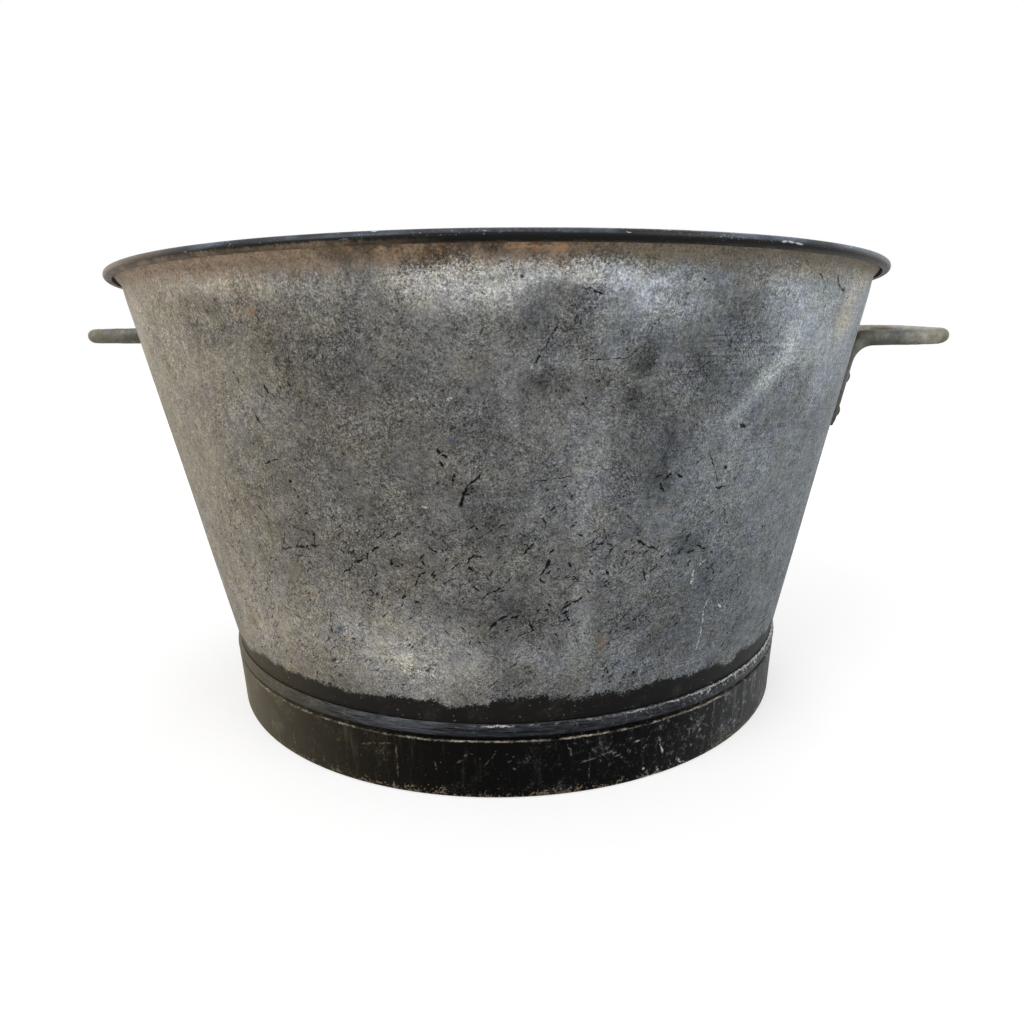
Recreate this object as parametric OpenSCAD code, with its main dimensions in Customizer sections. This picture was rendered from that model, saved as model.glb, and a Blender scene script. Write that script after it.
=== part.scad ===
// Galvanised washing tub: two wall sheets lock-seamed at the sides, a wired rim, a bottom sheet
// hooked into the wall, a beaded foot ring and two riveted rod handles.
// Origin on the ground at the tub's axis, +Z up, handles along X, front towards -Y.

/* [Tub] */
// Diameter over the rolled rim
rim_d = 650; // [600:1:700]
// Height of the rim above the ground
tub_h = 363; // [340:1:400]
// Outer diameter of the wall at the bottom seam
wall_foot_d = 511; // [480:1:540]
// Height of the bottom seam above the ground
floor_h = 50; // [48:1:60]
// Thickness of the wall, bottom and foot sheets
sheet = 1; // [0.7:0.1:1.3]

/* [Rim] */
// How far the rim stands out beyond the top of the wall
rim_overhang = 11; // [9.5:0.5:13]
// Height of the flared band, from the end of the straight wall to the top of the rim
flare_h = 9; // [7:1:13]
// Diameter of the wire inside the rolled rim
wire_d = 4.5; // [3.5:0.5:6]
// Direction from the wire to the free edge of the roll, 180 towards the axis and 270 down
roll_end = 235; // [220:5:270]

/* [Lock seams] */
// Width of the folded seam
lock_w = 10; // [8:1:16]
// Bare height between the foot bead and the seam's lower end
lock_low = 4; // [2:1:20]
// Bare height between the seam's upper end and the flare
lock_top = 4; // [2:1:20]

/* [Bottom seam] */
// Depth of the wall's straight edge below the seam
tail_h = 17; // [14:1:20]
// Height of the wall's edge hooked up inside the bottom sheet
hook_h = 9; // [6:1:11]

/* [Foot ring] */
// How far the foot ring's upper edge stands out from the wall at the bottom seam
foot_out = 3.7; // [2.5:0.1:6]
// How much the foot ring's radius narrows towards the ground
foot_taper = 2.2; // [0:0.1:4]
// How far the bead stands out from the wall at the bottom seam
bead_out = 4.1; // [3:0.1:5]
// Radius of the bead's round face
bead_r = 7.2; // [6.5:0.1:8]
// Height of the bead's middle above the bottom seam
bead_rise = 1.5; // [1:0.1:2.5]
// Height of the foot ring's edge below the middle of the bead
groove_drop = 7.2; // [7:0.1:9]
// Height of the hem turned up inside the foot ring
hem_h = 9; // [5:1:12]
// Length of the lap that closes the foot ring
lap_l = 26; // [20:1:40]
// Shank diameter of the lap's rivets
lap_rivet_d = 4; // [3:0.5:5]
// Head diameter of the lap's rivets
lap_head_d = 8; // [7:0.5:9]
// Head height of the lap's rivets
lap_head_h = 2; // [1:0.1:2.2]

/* [Handles] */
// Diameter of the handle rod
rod_d = 12.5; // [10:0.5:15]
// Distance between the middles of the two legs
leg_spacing = 140; // [110:1:170]
// Distance from the wall to the middle of the grip
grip_reach = 72; // [55:1:90]
// Radius of the bends beside the grip, at the middle of the rod
bend_r = 36; // [20:1:45]
// Depth of the right handle below the rim's top, at the middle of the rod
right_drop = 50.5; // [40:0.5:70]
// Depth of the left handle below the rim's top, at the middle of the rod
left_drop = 43; // [38:0.5:70]
// Turn of the right handle about its reach, which lowers its front leg
right_skew = 3; // [0:0.5:5]

/* [Lugs] */
// Width of the flattened lug
lug_w = 21; // [18:1:28]
// Thickness of the flattened lug
lug_t = 4; // [3:0.5:6]
// Length of the lug below the middle of the rod
lug_l = 72; // [64:1:84]
// Radius of the hollow between the rod and the lug
elbow_r = 16; // [10:1:18]
// Distance from the middle of the rod to the upper rivet
rivet_drop = 31; // [30:1:38]
// Distance between the two rivets of a lug
rivet_pitch = 28; // [20:1:28]

/* [Rivets] */
// Shank diameter of the handle rivets
rivet_d = 5; // [4:0.5:6]
// Head diameter of the handle rivets
rivet_head_d = 10; // [9:0.5:12]
// Head height of the handle rivets
rivet_head_h = 2; // [1.4:0.2:4]
// Tail diameter of the handle rivets, inside the tub
rivet_tail_d = 9; // [8:0.5:11]
// Tail height of the handle rivets, inside the tub
rivet_tail_h = 2; // [1:0.2:3]
// Outer diameter of the washers inside the tub
washer_d = 15; // [13:1:18]
// Thickness of the washers inside the tub
washer_t = 1.2; // [0.8:0.1:2]

/* [Hidden] */

// Facets of the big round shapes, and of rods and rivets
$fn = 240;
rod_fn = 64;
// Straight pieces in a rounded corner of a profile, and in the roll of the rim
corner_steps = 8;
roll_steps = 28;

// Clearance between sheets that lie on each other, between a lug or washer and the wall,
// and around a shank
fit = 0.15;
seat = 0.25;
bore_fit = 0.15;
// Gap between the edges of the two wall sheets above and below the lock seams
butt_gap = 0.4;

zinc = "#9a9c9b";
black = "#2b2d30";
iron = "#7d7a70";

// Points of an arc about a centre, from angle a0 to a1
function arc(c, r, a0, a1, steps) =
    [for (i = [0:steps]) let (a = a0 + (a1 - a0)*i/steps) c + r*[cos(a), sin(a)]];
// Angle that a length covers on a circle
function turn(length, r) = length/r*180/PI;

// The wall is a cone between the bottom seam and the flare
flare_z = tub_h - flare_h;
wall_top_r = rim_d/2 - rim_overhang;
wall_slope = (wall_top_r - wall_foot_d/2)/(flare_z - floor_h);
wall_tilt = atan(wall_slope);
// Radius of the wall's outer face at height z, moved out square to the face by off
function wall_r(z, off = 0) = wall_foot_d/2 + (z - floor_h)*wall_slope + off/cos(wall_tilt);

// The roll lies round the wire, and the flare runs from the wall to touch it on the inside
roll_in = wire_d/2 + fit;
roll_out = roll_in + sheet;
roll_c = [rim_d/2 - roll_out, tub_h - roll_out];
flare_foot = [wall_top_r, flare_z];
flare_way = roll_c - flare_foot;
flare_dir = atan2(flare_way.y, flare_way.x) + asin(roll_in/norm(flare_way));
roll_start = flare_dir + 90;
flare_tilt = 90 - flare_dir;
// Inner corner of the sheet where the wall turns into the flare
flare_foot_in = flare_foot + sheet/(1 + cos(flare_tilt - wall_tilt))
    *[-cos(wall_tilt) - cos(flare_tilt), sin(wall_tilt) + sin(flare_tilt)];

// Bottom seam, from outside in: the wall's tail, the bottom sheet's edge and the wall's hook
tail_r = wall_foot_d/2;
tail_low = floor_h - tail_h;
edge_r = tail_r - sheet - fit;
hook_r = edge_r - sheet - fit;

// Foot ring, pressed against the wall's tail in its groove
bead_z = floor_h + bead_rise;
bead_c = [tail_r + bead_out - bead_r, bead_z];
groove_in = tail_r + fit;
groove_out = groove_in + sheet;
foot_top = bead_z - groove_drop;
foot_low_r = tail_r + foot_out - foot_taper;
foot_tilt = atan(foot_taper/foot_top);
// Radius of the foot ring's outer face at height z, moved out square to the face by off
function foot_r(z, off = 0) = foot_low_r + z*tan(foot_tilt) + off/cos(foot_tilt);
// Half angles that the bead's outer and inner faces span, from the middle of the groove's sheet
bead_out_a = acos((groove_in + sheet/2 - bead_c.x)/bead_r);
bead_in_a = acos((groove_in + sheet/2 - bead_c.x)/(bead_r - sheet));
groove_top = bead_z - (bead_r - sheet)*sin(bead_in_a);
bead_top = bead_z + bead_r*sin(bead_out_a);

// Lock seam between the foot bead and the flare, along the wall; its layers lie one pitch apart
lock_z0 = bead_top + lock_low;
lock_z1 = flare_z - lock_top;
lock_len = (lock_z1 - lock_z0)/cos(wall_tilt);
layer = sheet + fit;
// Where the outer sheet steps down to the wall beside the seam
step_near = lock_w/2 + sheet + butt_gap;
step_far = step_near + sheet;
// Half the angle between the two wall sheets where their edges meet
gap_a = turn(butt_gap, wall_foot_d/2)/2;

// Handles: 0 is the right one, 1 the left one, turned half round; legs are -1 and 1
handle_z = [tub_h - right_drop, tub_h - left_drop];
handle_skew = [right_skew, 0];
// The elbow block stands a little proud of the rod on every side
knuckle_proud = 0.5;
knuckle = rod_d/2 + knuckle_proud;
// Both grips lie equally far from the axis, reached from the wall midway between their heights
grip_x = wall_r((handle_z[0] + handle_z[1])/2) + grip_reach;
function leg_z(h, leg) = handle_z[h] + leg*leg_spacing/2*sin(handle_skew[h]);
function leg_y(h) = leg_spacing/2*cos(handle_skew[h]);
function lug_a(h, leg) = asin(leg_y(h)/(wall_r(leg_z(h, leg)) + knuckle));

// Rivets, measured along their shanks outwards from the wall's outer face
head_seat = seat + lug_t + fit;
washer_seat = -sheet - seat;
tail_seat = washer_seat - washer_t - fit;

// The foot ring's lap lies at the back, on the outside of the ring
lap_a = 90;
lap_turn = turn(lap_l, foot_low_r);
lap_fold = turn(sheet, foot_low_r);
lap_margin = 4;
lap_low = hem_h/2;
// Their tails lie between the hem and the wall's edge inside the ring
lap_rivet_z = [hem_h + 0.7*lap_head_d, tail_low - 0.7*lap_head_d];

// A profile turned round the axis from angle a0 to a1
module sector(a0, a1) {
    rotate([0, 0, a0])
        rotate_extrude(angle = a1 - a0)
            children();
}

// The wall sheet: the hook under the bottom sheet's edge, the cone, the flare and the roll
module wall_profile() {
    polygon(concat([[hook_r - sheet, tail_low], [tail_r, tail_low], [tail_r, floor_h], flare_foot],
                   arc(roll_c, roll_in, roll_start, roll_end - 360, roll_steps),
                   arc(roll_c, roll_out, roll_end - 360, roll_start, roll_steps),
                   [flare_foot_in, [tail_r - sheet, floor_h], [tail_r - sheet, tail_low + sheet],
                    [hook_r, tail_low + sheet], [hook_r, tail_low + hook_h],
                    [hook_r - sheet, tail_low + hook_h]]));
}

// Runs an outline up the wall along a lock seam, x out of the wall and y across the seam
module along_seam(from, to) {
    translate([wall_r(lock_z0), 0, lock_z0])
        rotate([0, wall_tilt, 0])
            translate([0, 0, from])
                linear_extrude(to - from)
                    children();
}

// Outer hook of the seam: steps out over the other sheet, runs across and folds back under
module outer_hook() {
    far = -lock_w/2 - sheet;
    polygon([[-sheet - seat, step_near], [-sheet - seat, step_far], [3*layer, step_far], [3*layer, far],
             [fit, far], [fit, lock_w/2 - sheet], [layer, lock_w/2 - sheet], [layer, -lock_w/2],
             [3*layer - sheet, -lock_w/2], [3*layer - sheet, step_near]]);
}

// Inner hook of the seam: runs on under the other sheet, folds out and back between its layers.
// Its root is a film thicker than the wall sheet that it grows from.
module inner_hook() {
    film = fit/3;
    near = lock_w/2;
    polygon([[-sheet - film, -2*sheet], [-sheet - film, near + sheet], [2*layer, near + sheet],
             [2*layer, sheet - near], [2*layer - sheet, sheet - near], [2*layer - sheet, near],
             [film, near], [film, -2*sheet]]);
}

// One wall sheet over the half turn from 0 to 180: its first edge is the outer hook of a lock seam,
// its last edge the inner hook
module wall_half() {
    difference() {
        sector(gap_a, 180 - gap_a) wall_profile();
        along_seam(0, lock_len)
            translate([-3*layer, -layer])
                square([6*layer, layer + (step_near + step_far)/2]);
    }
    along_seam(butt_gap, lock_len - butt_gap) outer_hook();
    rotate([0, 0, 180]) along_seam(butt_gap, lock_len - butt_gap) inner_hook();
}

// Places children on the two rivets of each lug of a handle, with +Z out along the shank
module at_rivets(h) {
    for (leg = [-1, 1])
        for (i = [0, 1])
            let (z = leg_z(h, leg) - rivet_drop - i*rivet_pitch)
                rotate([0, 0, 180*h + leg*lug_a(h, leg)])
                    translate([wall_r(z), 0, z])
                        rotate([0, 90 + wall_tilt, 0])
                            children();
}

// Hole for a shank, long enough for the lug, the wall and the washer
module rivet_bore() {
    reach = 2*(lug_t + sheet + washer_t);
    cylinder(d = rivet_d + 2*bore_fit, h = 2*reach, center = true, $fn = rod_fn);
}

// Rim to crown of a low round head of diameter d and height h that stands on height z
function crown(d, h, z) =
    let (ball_r = (d*d/4 + h*h)/(2*h))
    arc([0, z + h - ball_r], ball_r, acos(d/2/ball_r), 90, corner_steps);
// The same upside down, crown to rim
function crown_down(d, h, z) =
    let (ball_r = (d*d/4 + h*h)/(2*h))
    arc([0, z - h + ball_r], ball_r, -90, -acos(d/2/ball_r), corner_steps);

// Rivet with its tail on height low and its head on height high
module rivet(d, low, high, head_d, head_h, tail_d, tail_h) {
    rotate_extrude($fn = rod_fn)
        polygon(concat(crown_down(tail_d, tail_h, low),
                       [[d/2, low], [d/2, high]],
                       crown(head_d, head_h, high)));
}

module front_wall() {
    color(zinc)
        difference() {
            rotate([0, 0, 180]) wall_half();
            at_rivets(0) rivet_bore();
            at_rivets(1) rivet_bore();
        }
}

module rear_wall() {
    color(zinc)
        difference() {
            wall_half();
            at_rivets(0) rivet_bore();
            at_rivets(1) rivet_bore();
        }
}

module rim_wire() {
    color(iron)
        rotate_extrude()
            translate(roll_c)
                circle(d = wire_d, $fn = rod_fn);
}

module bottom_sheet() {
    top = floor_h - fit;
    low = tail_low + sheet + fit;
    color(zinc)
        rotate_extrude()
            polygon([[0, top - sheet], [edge_r - sheet, top - sheet], [edge_r - sheet, low],
                     [edge_r, low], [edge_r, top], [0, top]]);
}

// Skirt with the hem at the ground and the groove at its top
module foot_profile() {
    hem_out = foot_r(0, -sheet) - fit;
    polygon([[hem_out - sheet, 0], [foot_r(0), 0], [foot_r(foot_top), foot_top], [groove_out, foot_top],
             [groove_out, groove_top], [groove_in, groove_top], [groove_in, foot_top - sheet],
             [foot_r(foot_top - sheet, -sheet), foot_top - sheet], [foot_r(sheet, -sheet), sheet],
             [hem_out, sheet], [hem_out, hem_h], [hem_out - sheet, hem_h]]);
}

// Round bead that covers the bottom seam and ends against the wall
module bead_profile() {
    above = bead_top + sheet;
    difference() {
        polygon(concat(arc(bead_c, bead_r, -bead_out_a, bead_out_a, 2*corner_steps),
                       arc(bead_c, bead_r - sheet, bead_in_a, -bead_in_a, 2*corner_steps)));
        polygon([[0, bead_z], [wall_r(bead_z, fit), bead_z], [wall_r(above, fit), above], [0, above]]);
    }
}

// Skirt strip in the lap, from offset off0 to off1 square to the skirt
module lap_strip(off0, off1) {
    top = foot_top - lap_margin;
    polygon([[foot_r(lap_low, off0), lap_low], [foot_r(lap_low, off1), lap_low],
             [foot_r(top, off1), top], [foot_r(top, off0), top]]);
}

// Places children on the lap's rivets, with +Z out along the shank from the skirt's face
module at_lap_rivets() {
    for (z = lap_rivet_z)
        rotate([0, 0, lap_a + lap_turn/2])
            translate([foot_r(z), 0, z])
                rotate([0, 90 + foot_tilt, 0])
                    children();
}

module foot_ring() {
    end_gap = turn(butt_gap, foot_low_r);
    color(black)
        difference() {
            union() {
                sector(lap_a, lap_a + 360 - end_gap) {
                    foot_profile();
                    bead_profile();
                }
                // the lap grows out of one end of the ring through a fold, and lies over the other end
                sector(lap_a - end_gap - lap_fold, lap_a + lap_turn) lap_strip(fit, sheet + fit);
                sector(lap_a - end_gap - 0.9*lap_fold, lap_a - end_gap - 0.1*lap_fold)
                    lap_strip(-sheet/2, sheet/2 + fit);
            }
            at_lap_rivets()
                cylinder(d = lap_rivet_d + 2*bore_fit, h = 8*sheet, center = true, $fn = rod_fn);
        }
}

module foot_ring_rivets() {
    color(black)
        at_lap_rivets()
            rivet(lap_rivet_d, -sheet - seat, sheet + 2*fit,
                  lap_head_d, lap_head_h, lap_head_d, lap_head_h);
}

// Side view of a lug whose leg lies at height z: a plate on the wall below, the elbow above
module lug_side(z) {
    low = z - lug_l;
    hollow_z = z - knuckle - elbow_r;
    hollow_x = wall_r(hollow_z, seat + lug_t + elbow_r);
    back_r = knuckle;
    polygon(concat([[wall_r(low, seat), low], [wall_r(low, seat + lug_t), low]],
                   arc([hollow_x, hollow_z], elbow_r, 180 - wall_tilt, 90, corner_steps),
                   [[hollow_x, z + knuckle]],
                   arc([wall_r(z, seat) + back_r, z + knuckle - back_r], back_r, 90, 180, corner_steps),
                   [[wall_r(z - back_r, seat), z - back_r]]));
}

// Front view of a lug: a rounded plate that narrows to the rod
module lug_front(z) {
    end_z = z - lug_l + lug_w/2;
    shoulder_z = z - knuckle - elbow_r;
    polygon(concat([[knuckle, z + 2*knuckle], [-knuckle, z + 2*knuckle], [-knuckle, z - knuckle/2],
                    [-lug_w/2, shoulder_z]],
                   arc([0, end_z], lug_w/2, 180, 360, 2*corner_steps),
                   [[lug_w/2, shoulder_z], [knuckle, z - knuckle/2]]));
}

module lug(h, leg) {
    z = leg_z(h, leg);
    half_a = turn(lug_w, wall_r(z - lug_l));
    rotate([0, 0, leg*lug_a(h, leg)])
        intersection() {
            sector(-half_a, half_a) lug_side(z);
            translate([wall_r(z - lug_l) - lug_w, 0, 0])
                rotate([90, 0, 90])
                    linear_extrude(grip_reach + lug_w)
                        lug_front(z);
        }
}

// Bent rod, measured from the middle of the grip: the grip, two bends and two legs that end
// inside the elbows
module loop(h) {
    side = leg_spacing/2 - bend_r;
    rotate([90, 0, 0])
        cylinder(d = rod_d, h = 2*side, center = true, $fn = rod_fn);
    for (leg = [-1, 1])
        mirror([0, leg < 0 ? 1 : 0, 0])
            translate([-bend_r, 0, 0]) {
                leg_l = grip_x - bend_r - (wall_r(leg_z(h, leg)) + knuckle)*cos(lug_a(h, leg));
                translate([0, side, 0])
                    rotate_extrude(angle = 90, $fn = 4*rod_fn)
                        translate([bend_r, 0])
                            circle(d = rod_d, $fn = rod_fn);
                translate([0, leg_spacing/2, 0])
                    rotate([0, -90, 0])
                        cylinder(d = rod_d, h = leg_l, $fn = rod_fn);
            }
}

module handle(h) {
    color(iron)
        difference() {
            rotate([0, 0, 180*h]) {
                translate([grip_x, 0, handle_z[h]])
                    rotate([handle_skew[h], 0, 0])
                        loop(h);
                lug(h, -1);
                lug(h, 1);
            }
            at_rivets(h) rivet_bore();
        }
}

module handle_rivets(h) {
    color(iron)
        at_rivets(h)
            rivet(rivet_d, tail_seat, head_seat, rivet_head_d, rivet_head_h, rivet_tail_d, rivet_tail_h);
}

module rivet_washers(h) {
    color(zinc)
        at_rivets(h)
            translate([0, 0, washer_seat - washer_t])
                difference() {
                    cylinder(d = washer_d, h = washer_t, $fn = rod_fn);
                    rivet_bore();
                }
}

module right_handle() { handle(0); }
module left_handle() { handle(1); }
module right_handle_rivets() { handle_rivets(0); }
module left_handle_rivets() { handle_rivets(1); }
module right_rivet_washers() { rivet_washers(0); }
module left_rivet_washers() { rivet_washers(1); }

front_wall();
rear_wall();
rim_wire();
bottom_sheet();
foot_ring();
foot_ring_rivets();
right_handle();
left_handle();
right_handle_rivets();
left_handle_rivets();
right_rivet_washers();
left_rivet_washers();
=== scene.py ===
"""Looks of the galvanised washing tub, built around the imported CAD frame. Lengths are in mm unless said."""
import math
import random

import bmesh
import bpy
import numpy as np
from mathutils import Matrix, Vector


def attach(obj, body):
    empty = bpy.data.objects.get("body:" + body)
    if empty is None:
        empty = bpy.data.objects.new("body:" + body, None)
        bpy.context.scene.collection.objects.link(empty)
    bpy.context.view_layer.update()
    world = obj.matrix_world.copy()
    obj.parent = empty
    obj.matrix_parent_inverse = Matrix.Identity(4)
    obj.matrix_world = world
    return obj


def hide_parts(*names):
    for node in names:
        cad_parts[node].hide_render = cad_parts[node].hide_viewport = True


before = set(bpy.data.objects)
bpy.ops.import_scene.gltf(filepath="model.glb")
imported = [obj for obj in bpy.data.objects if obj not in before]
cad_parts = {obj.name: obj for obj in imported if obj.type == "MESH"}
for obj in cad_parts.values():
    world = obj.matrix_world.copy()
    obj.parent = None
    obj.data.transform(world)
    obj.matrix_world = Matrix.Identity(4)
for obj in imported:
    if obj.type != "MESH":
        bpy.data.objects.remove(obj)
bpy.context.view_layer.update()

MM = 0.001

# Sizes, as in the part's source
RIM_D, TUB_H, WALL_FOOT_D, FLOOR_H, SHEET = 650.0, 363.0, 511.0, 50.0, 1.0
RIM_OVERHANG, FLARE_H, WIRE_D, ROLL_END = 11.0, 9.0, 4.5, 235.0
LOCK_W, LOCK_TOP, BUTT_GAP, JOINT_GAP = 10.0, 4.0, 0.4, 0.06
TAIL_H, HOOK_H, FIT, SEAT = 17.0, 9.0, 0.15, 0.25
FOOT_OUT, FOOT_TAPER, BEAD_OUT, BEAD_R, BEAD_RISE = 3.7, 2.2, 4.1, 7.2, 1.5
GROOVE_DROP, HEM_H, LAP_L, LAP_AZ = 7.2, 9.0, 26.0, 90.0
ROD_D, LEG_SPACING, GRIP_REACH, BEND_R = 12.5, 140.0, 72.0, 36.0
HANDLE_DROP, HANDLE_SKEW = (50.5, 43.0), (3.0, 0.0)
LUG_W, LUG_T, LUG_L, ELBOW_R, KNUCKLE_PROUD = 21.0, 4.0, 72.0, 16.0, 0.5

FLARE_Z = TUB_H - FLARE_H
WALL_TOP_R = RIM_D / 2 - RIM_OVERHANG
WALL_SLOPE = (WALL_TOP_R - WALL_FOOT_D / 2) / (FLARE_Z - FLOOR_H)
WALL_TILT = math.atan(WALL_SLOPE)
TAIL_R = WALL_FOOT_D / 2
TAIL_LOW = FLOOR_H - TAIL_H
ROLL_MID = WIRE_D / 2 + FIT + SHEET / 2
ROLL_OUT = ROLL_MID + SHEET / 2
ROLL_C = np.array([RIM_D / 2 - ROLL_OUT, TUB_H - ROLL_OUT])
BEAD_Z = FLOOR_H + BEAD_RISE
FOOT_TOP = BEAD_Z - GROOVE_DROP
FOOT_LOW_R = TAIL_R + FOOT_OUT - FOOT_TAPER
FOOT_SLOPE = FOOT_TAPER / FOOT_TOP
HANDLE_Z = [TUB_H - drop for drop in HANDLE_DROP]
KNUCKLE = ROD_D / 2 + KNUCKLE_PROUD


def wall_r(z, off=0.0):
    """Radius of the wall's outer face at height z, moved out square to the face by off."""
    return TAIL_R + (z - FLOOR_H) * WALL_SLOPE + off / math.cos(WALL_TILT)


def foot_r(z, off=0.0):
    """Radius of the foot ring's outer face at height z, moved out square to the face by off."""
    return FOOT_LOW_R + z * FOOT_SLOPE + off / math.cos(math.atan(FOOT_SLOPE))


# Camera of the photograph, from fitting the tub's outlines
IMAGE_PX = 1024
FOCAL_PX = 700.0
CENTRE_PX = (520.35, 504.09)
CAM_DIST, CAM_Z = 686.54, 305.24
CAM_PITCH, CAM_ROLL, CAM_YAW = 0.2208, -0.0137, 0.0213
CAM_TURN = math.radians(6.5)
SENSOR, CLIP_START = 36.0, 20.0


def spin(angle, v):
    return Matrix.Rotation(angle, 3, "Z") @ Vector(v)


cam_right = spin(CAM_TURN - CAM_YAW, (1, 0, 0))
cam_ahead = spin(CAM_TURN - CAM_YAW, (0, math.cos(CAM_PITCH), -math.sin(CAM_PITCH)))
cam_up = spin(CAM_TURN - CAM_YAW, (0, math.sin(CAM_PITCH), math.cos(CAM_PITCH)))
cam_x = math.cos(CAM_ROLL) * cam_right + math.sin(CAM_ROLL) * cam_up
cam_y = math.cos(CAM_ROLL) * cam_up - math.sin(CAM_ROLL) * cam_right
cam_at = spin(CAM_TURN, (0, -CAM_DIST, CAM_Z))

camera = bpy.data.objects.new("camera", bpy.data.cameras.new("camera"))
camera.data.sensor_width = SENSOR
camera.data.lens = FOCAL_PX / IMAGE_PX * SENSOR
camera.data.shift_x = (IMAGE_PX / 2 - CENTRE_PX[0]) / IMAGE_PX
camera.data.shift_y = (CENTRE_PX[1] - IMAGE_PX / 2) / IMAGE_PX
camera.data.clip_start = CLIP_START * MM
cam_axes = Matrix((cam_x, cam_y, -cam_ahead)).transposed()
camera.matrix_world = Matrix.Translation(cam_at * MM) @ cam_axes.to_4x4()
bpy.context.scene.collection.objects.link(camera)
bpy.context.scene.camera = camera

# Unrolled faces: u runs round the tub, v is the height. Each face is a cone r = r0 + slope*z.
UNROLL_R = 285.0
WALL_CONE = (TAIL_R - FLOOR_H * WALL_SLOPE, WALL_SLOPE)
SKIRT_CONE = (FOOT_LOW_R, FOOT_SLOPE)
ROLL_CONE = (RIM_D / 2, 0.0)


def unrolled(px, py, cone=WALL_CONE):
    """Point of an unrolled face that the photograph shows at a pixel; beside the tub, the nearest one."""
    d = cam_ahead + cam_x * (px - CENTRE_PX[0]) / FOCAL_PX - cam_y * (py - CENTRE_PX[1]) / FOCAL_PX
    r0, slope = cone
    here = r0 + slope * cam_at.z
    a = d.x ** 2 + d.y ** 2 - (slope * d.z) ** 2
    b = cam_at.x * d.x + cam_at.y * d.y - here * slope * d.z
    c = cam_at.x ** 2 + cam_at.y ** 2 - here ** 2
    p = cam_at + d * ((-b - math.sqrt(max(0.0, b * b - a * c))) / a)
    return Vector((math.atan2(p.y, p.x) * UNROLL_R, p.z))


def run(p, q, step):
    """Points from p towards q, q left out, at most step apart."""
    p, q = np.array(p, float), np.array(q, float)
    n = max(1, math.ceil(np.linalg.norm(q - p) / step))
    return [p + (q - p) * i / n for i in range(n)]


def arc(c, r, a0, a1, n):
    """Points of an arc about c, from a0 to a1 degrees."""
    angles = np.radians(np.linspace(a0, a1, n + 1))
    return [np.array(c) + r * np.array([math.cos(a), math.sin(a)]) for a in angles]


# Steps of a rounded bend, and the turn in radians below which a corner counts as straight
BEND_STEPS, STRAIGHT = 6, 1e-4


def rounded(corners, step):
    """A path through corners (r, z, bend radius), its bends rounded and its straights cut into steps."""
    pts, last = [], np.array(corners[0][:2])
    for (p0, p1, p2) in zip(corners, corners[1:], corners[2:]):
        a, b, c = (np.array(p[:2], float) for p in (p0, p1, p2))
        d0, d1 = (b - a) / np.linalg.norm(b - a), (c - b) / np.linalg.norm(c - b)
        turn = math.atan2(d0[0] * d1[1] - d0[1] * d1[0], d0 @ d1)
        if abs(turn) < STRAIGHT:
            pts += run(last, b, step)
            last = b
            continue
        side = np.array([-d0[1], d0[0]]) * math.copysign(1, turn)
        start = b - d0 * p1[2] * math.tan(abs(turn) / 2)
        centre = start + side * p1[2]
        a0 = math.degrees(math.atan2(*(start - centre)[::-1]))
        pts += run(last, start, step)
        bend = arc(centre, p1[2], a0, a0 + math.degrees(turn), BEND_STEPS)
        pts += bend[:-1]
        last = bend[-1]
    return pts + run(last, corners[-1][:2], step) + [np.array(corners[-1][:2], float)]


# Edges sharper than this many degrees stay sharp; points nearer than this many metres are one
SHARP_ANGLE, WELD = 38, 1e-7


class Build:
    """Collects the points of one piece, in mm, and its faces with their material numbers, the marks."""

    def __init__(self):
        self.verts, self.faces, self.marks = [], [], []

    def strip(self, rows, mark=0, closed=False):
        """Quads between rows of points of equal length."""
        base, n = len(self.verts), len(rows[0])
        for row in rows:
            self.verts += [tuple(p) for p in row]
        for i in range(len(rows) - 1):
            for j in range(n if closed else n - 1):
                k = (j + 1) % n
                a, b = base + i * n, base + (i + 1) * n
                self.faces.append((a + j, a + k, b + k, b + j))
                self.marks.append(mark if isinstance(mark, int) else mark[j])

    def cap(self, ring, mark=0):
        base = len(self.verts)
        self.verts += [tuple(p) for p in ring]
        self.faces.append(tuple(range(base, base + len(ring))))
        self.marks.append(mark)

    def ends(self, grids, mark=0):
        """Closes a sheet at both of its ends, across the rows of its two faces."""
        for j in (0, -1):
            self.strip([[row[j] for row in grid] for grid in grids], mark)

    def piece(self, name, materials):
        """The mesh object, its doubled points joined and its normals set."""
        mesh = bpy.data.meshes.new(name)
        mesh.from_pydata([tuple(c * MM for c in v) for v in self.verts], [], self.faces)
        for material in materials:
            mesh.materials.append(material)
        mesh.polygons.foreach_set("material_index", self.marks)
        bm = bmesh.new()
        bm.from_mesh(mesh)
        bmesh.ops.remove_doubles(bm, verts=bm.verts, dist=WELD)
        bmesh.ops.recalc_face_normals(bm, faces=bm.faces)
        bm.to_mesh(mesh)
        bm.free()
        mesh.polygons.foreach_set("use_smooth", [True] * len(mesh.polygons))
        mesh.set_sharp_from_angle(angle=math.radians(SHARP_ANGLE))
        piece = bpy.data.objects.new(name, mesh)
        bpy.context.scene.collection.objects.link(piece)
        return piece


def both_faces(path):
    """The left and the right face of a sheet, looking along the path of its middle line."""
    p = np.array(path)
    d = np.diff(p, axis=0)
    d /= np.linalg.norm(d, axis=1)[:, None]
    n = np.stack([-d[:, 1], d[:, 0]], 1)
    mid = np.concatenate([n[:1], n]) + np.concatenate([n, n[-1:]])
    mid *= SHEET / np.sum(mid * mid, 1)[:, None]
    return p + mid, p - mid


def turned(r, z, azimuths):
    """A point (r, z) turned to each azimuth, in degrees."""
    a = np.radians(azimuths)
    return np.stack([r * np.cos(a), r * np.sin(a), np.broadcast_to(z, a.shape)], -1)


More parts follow.
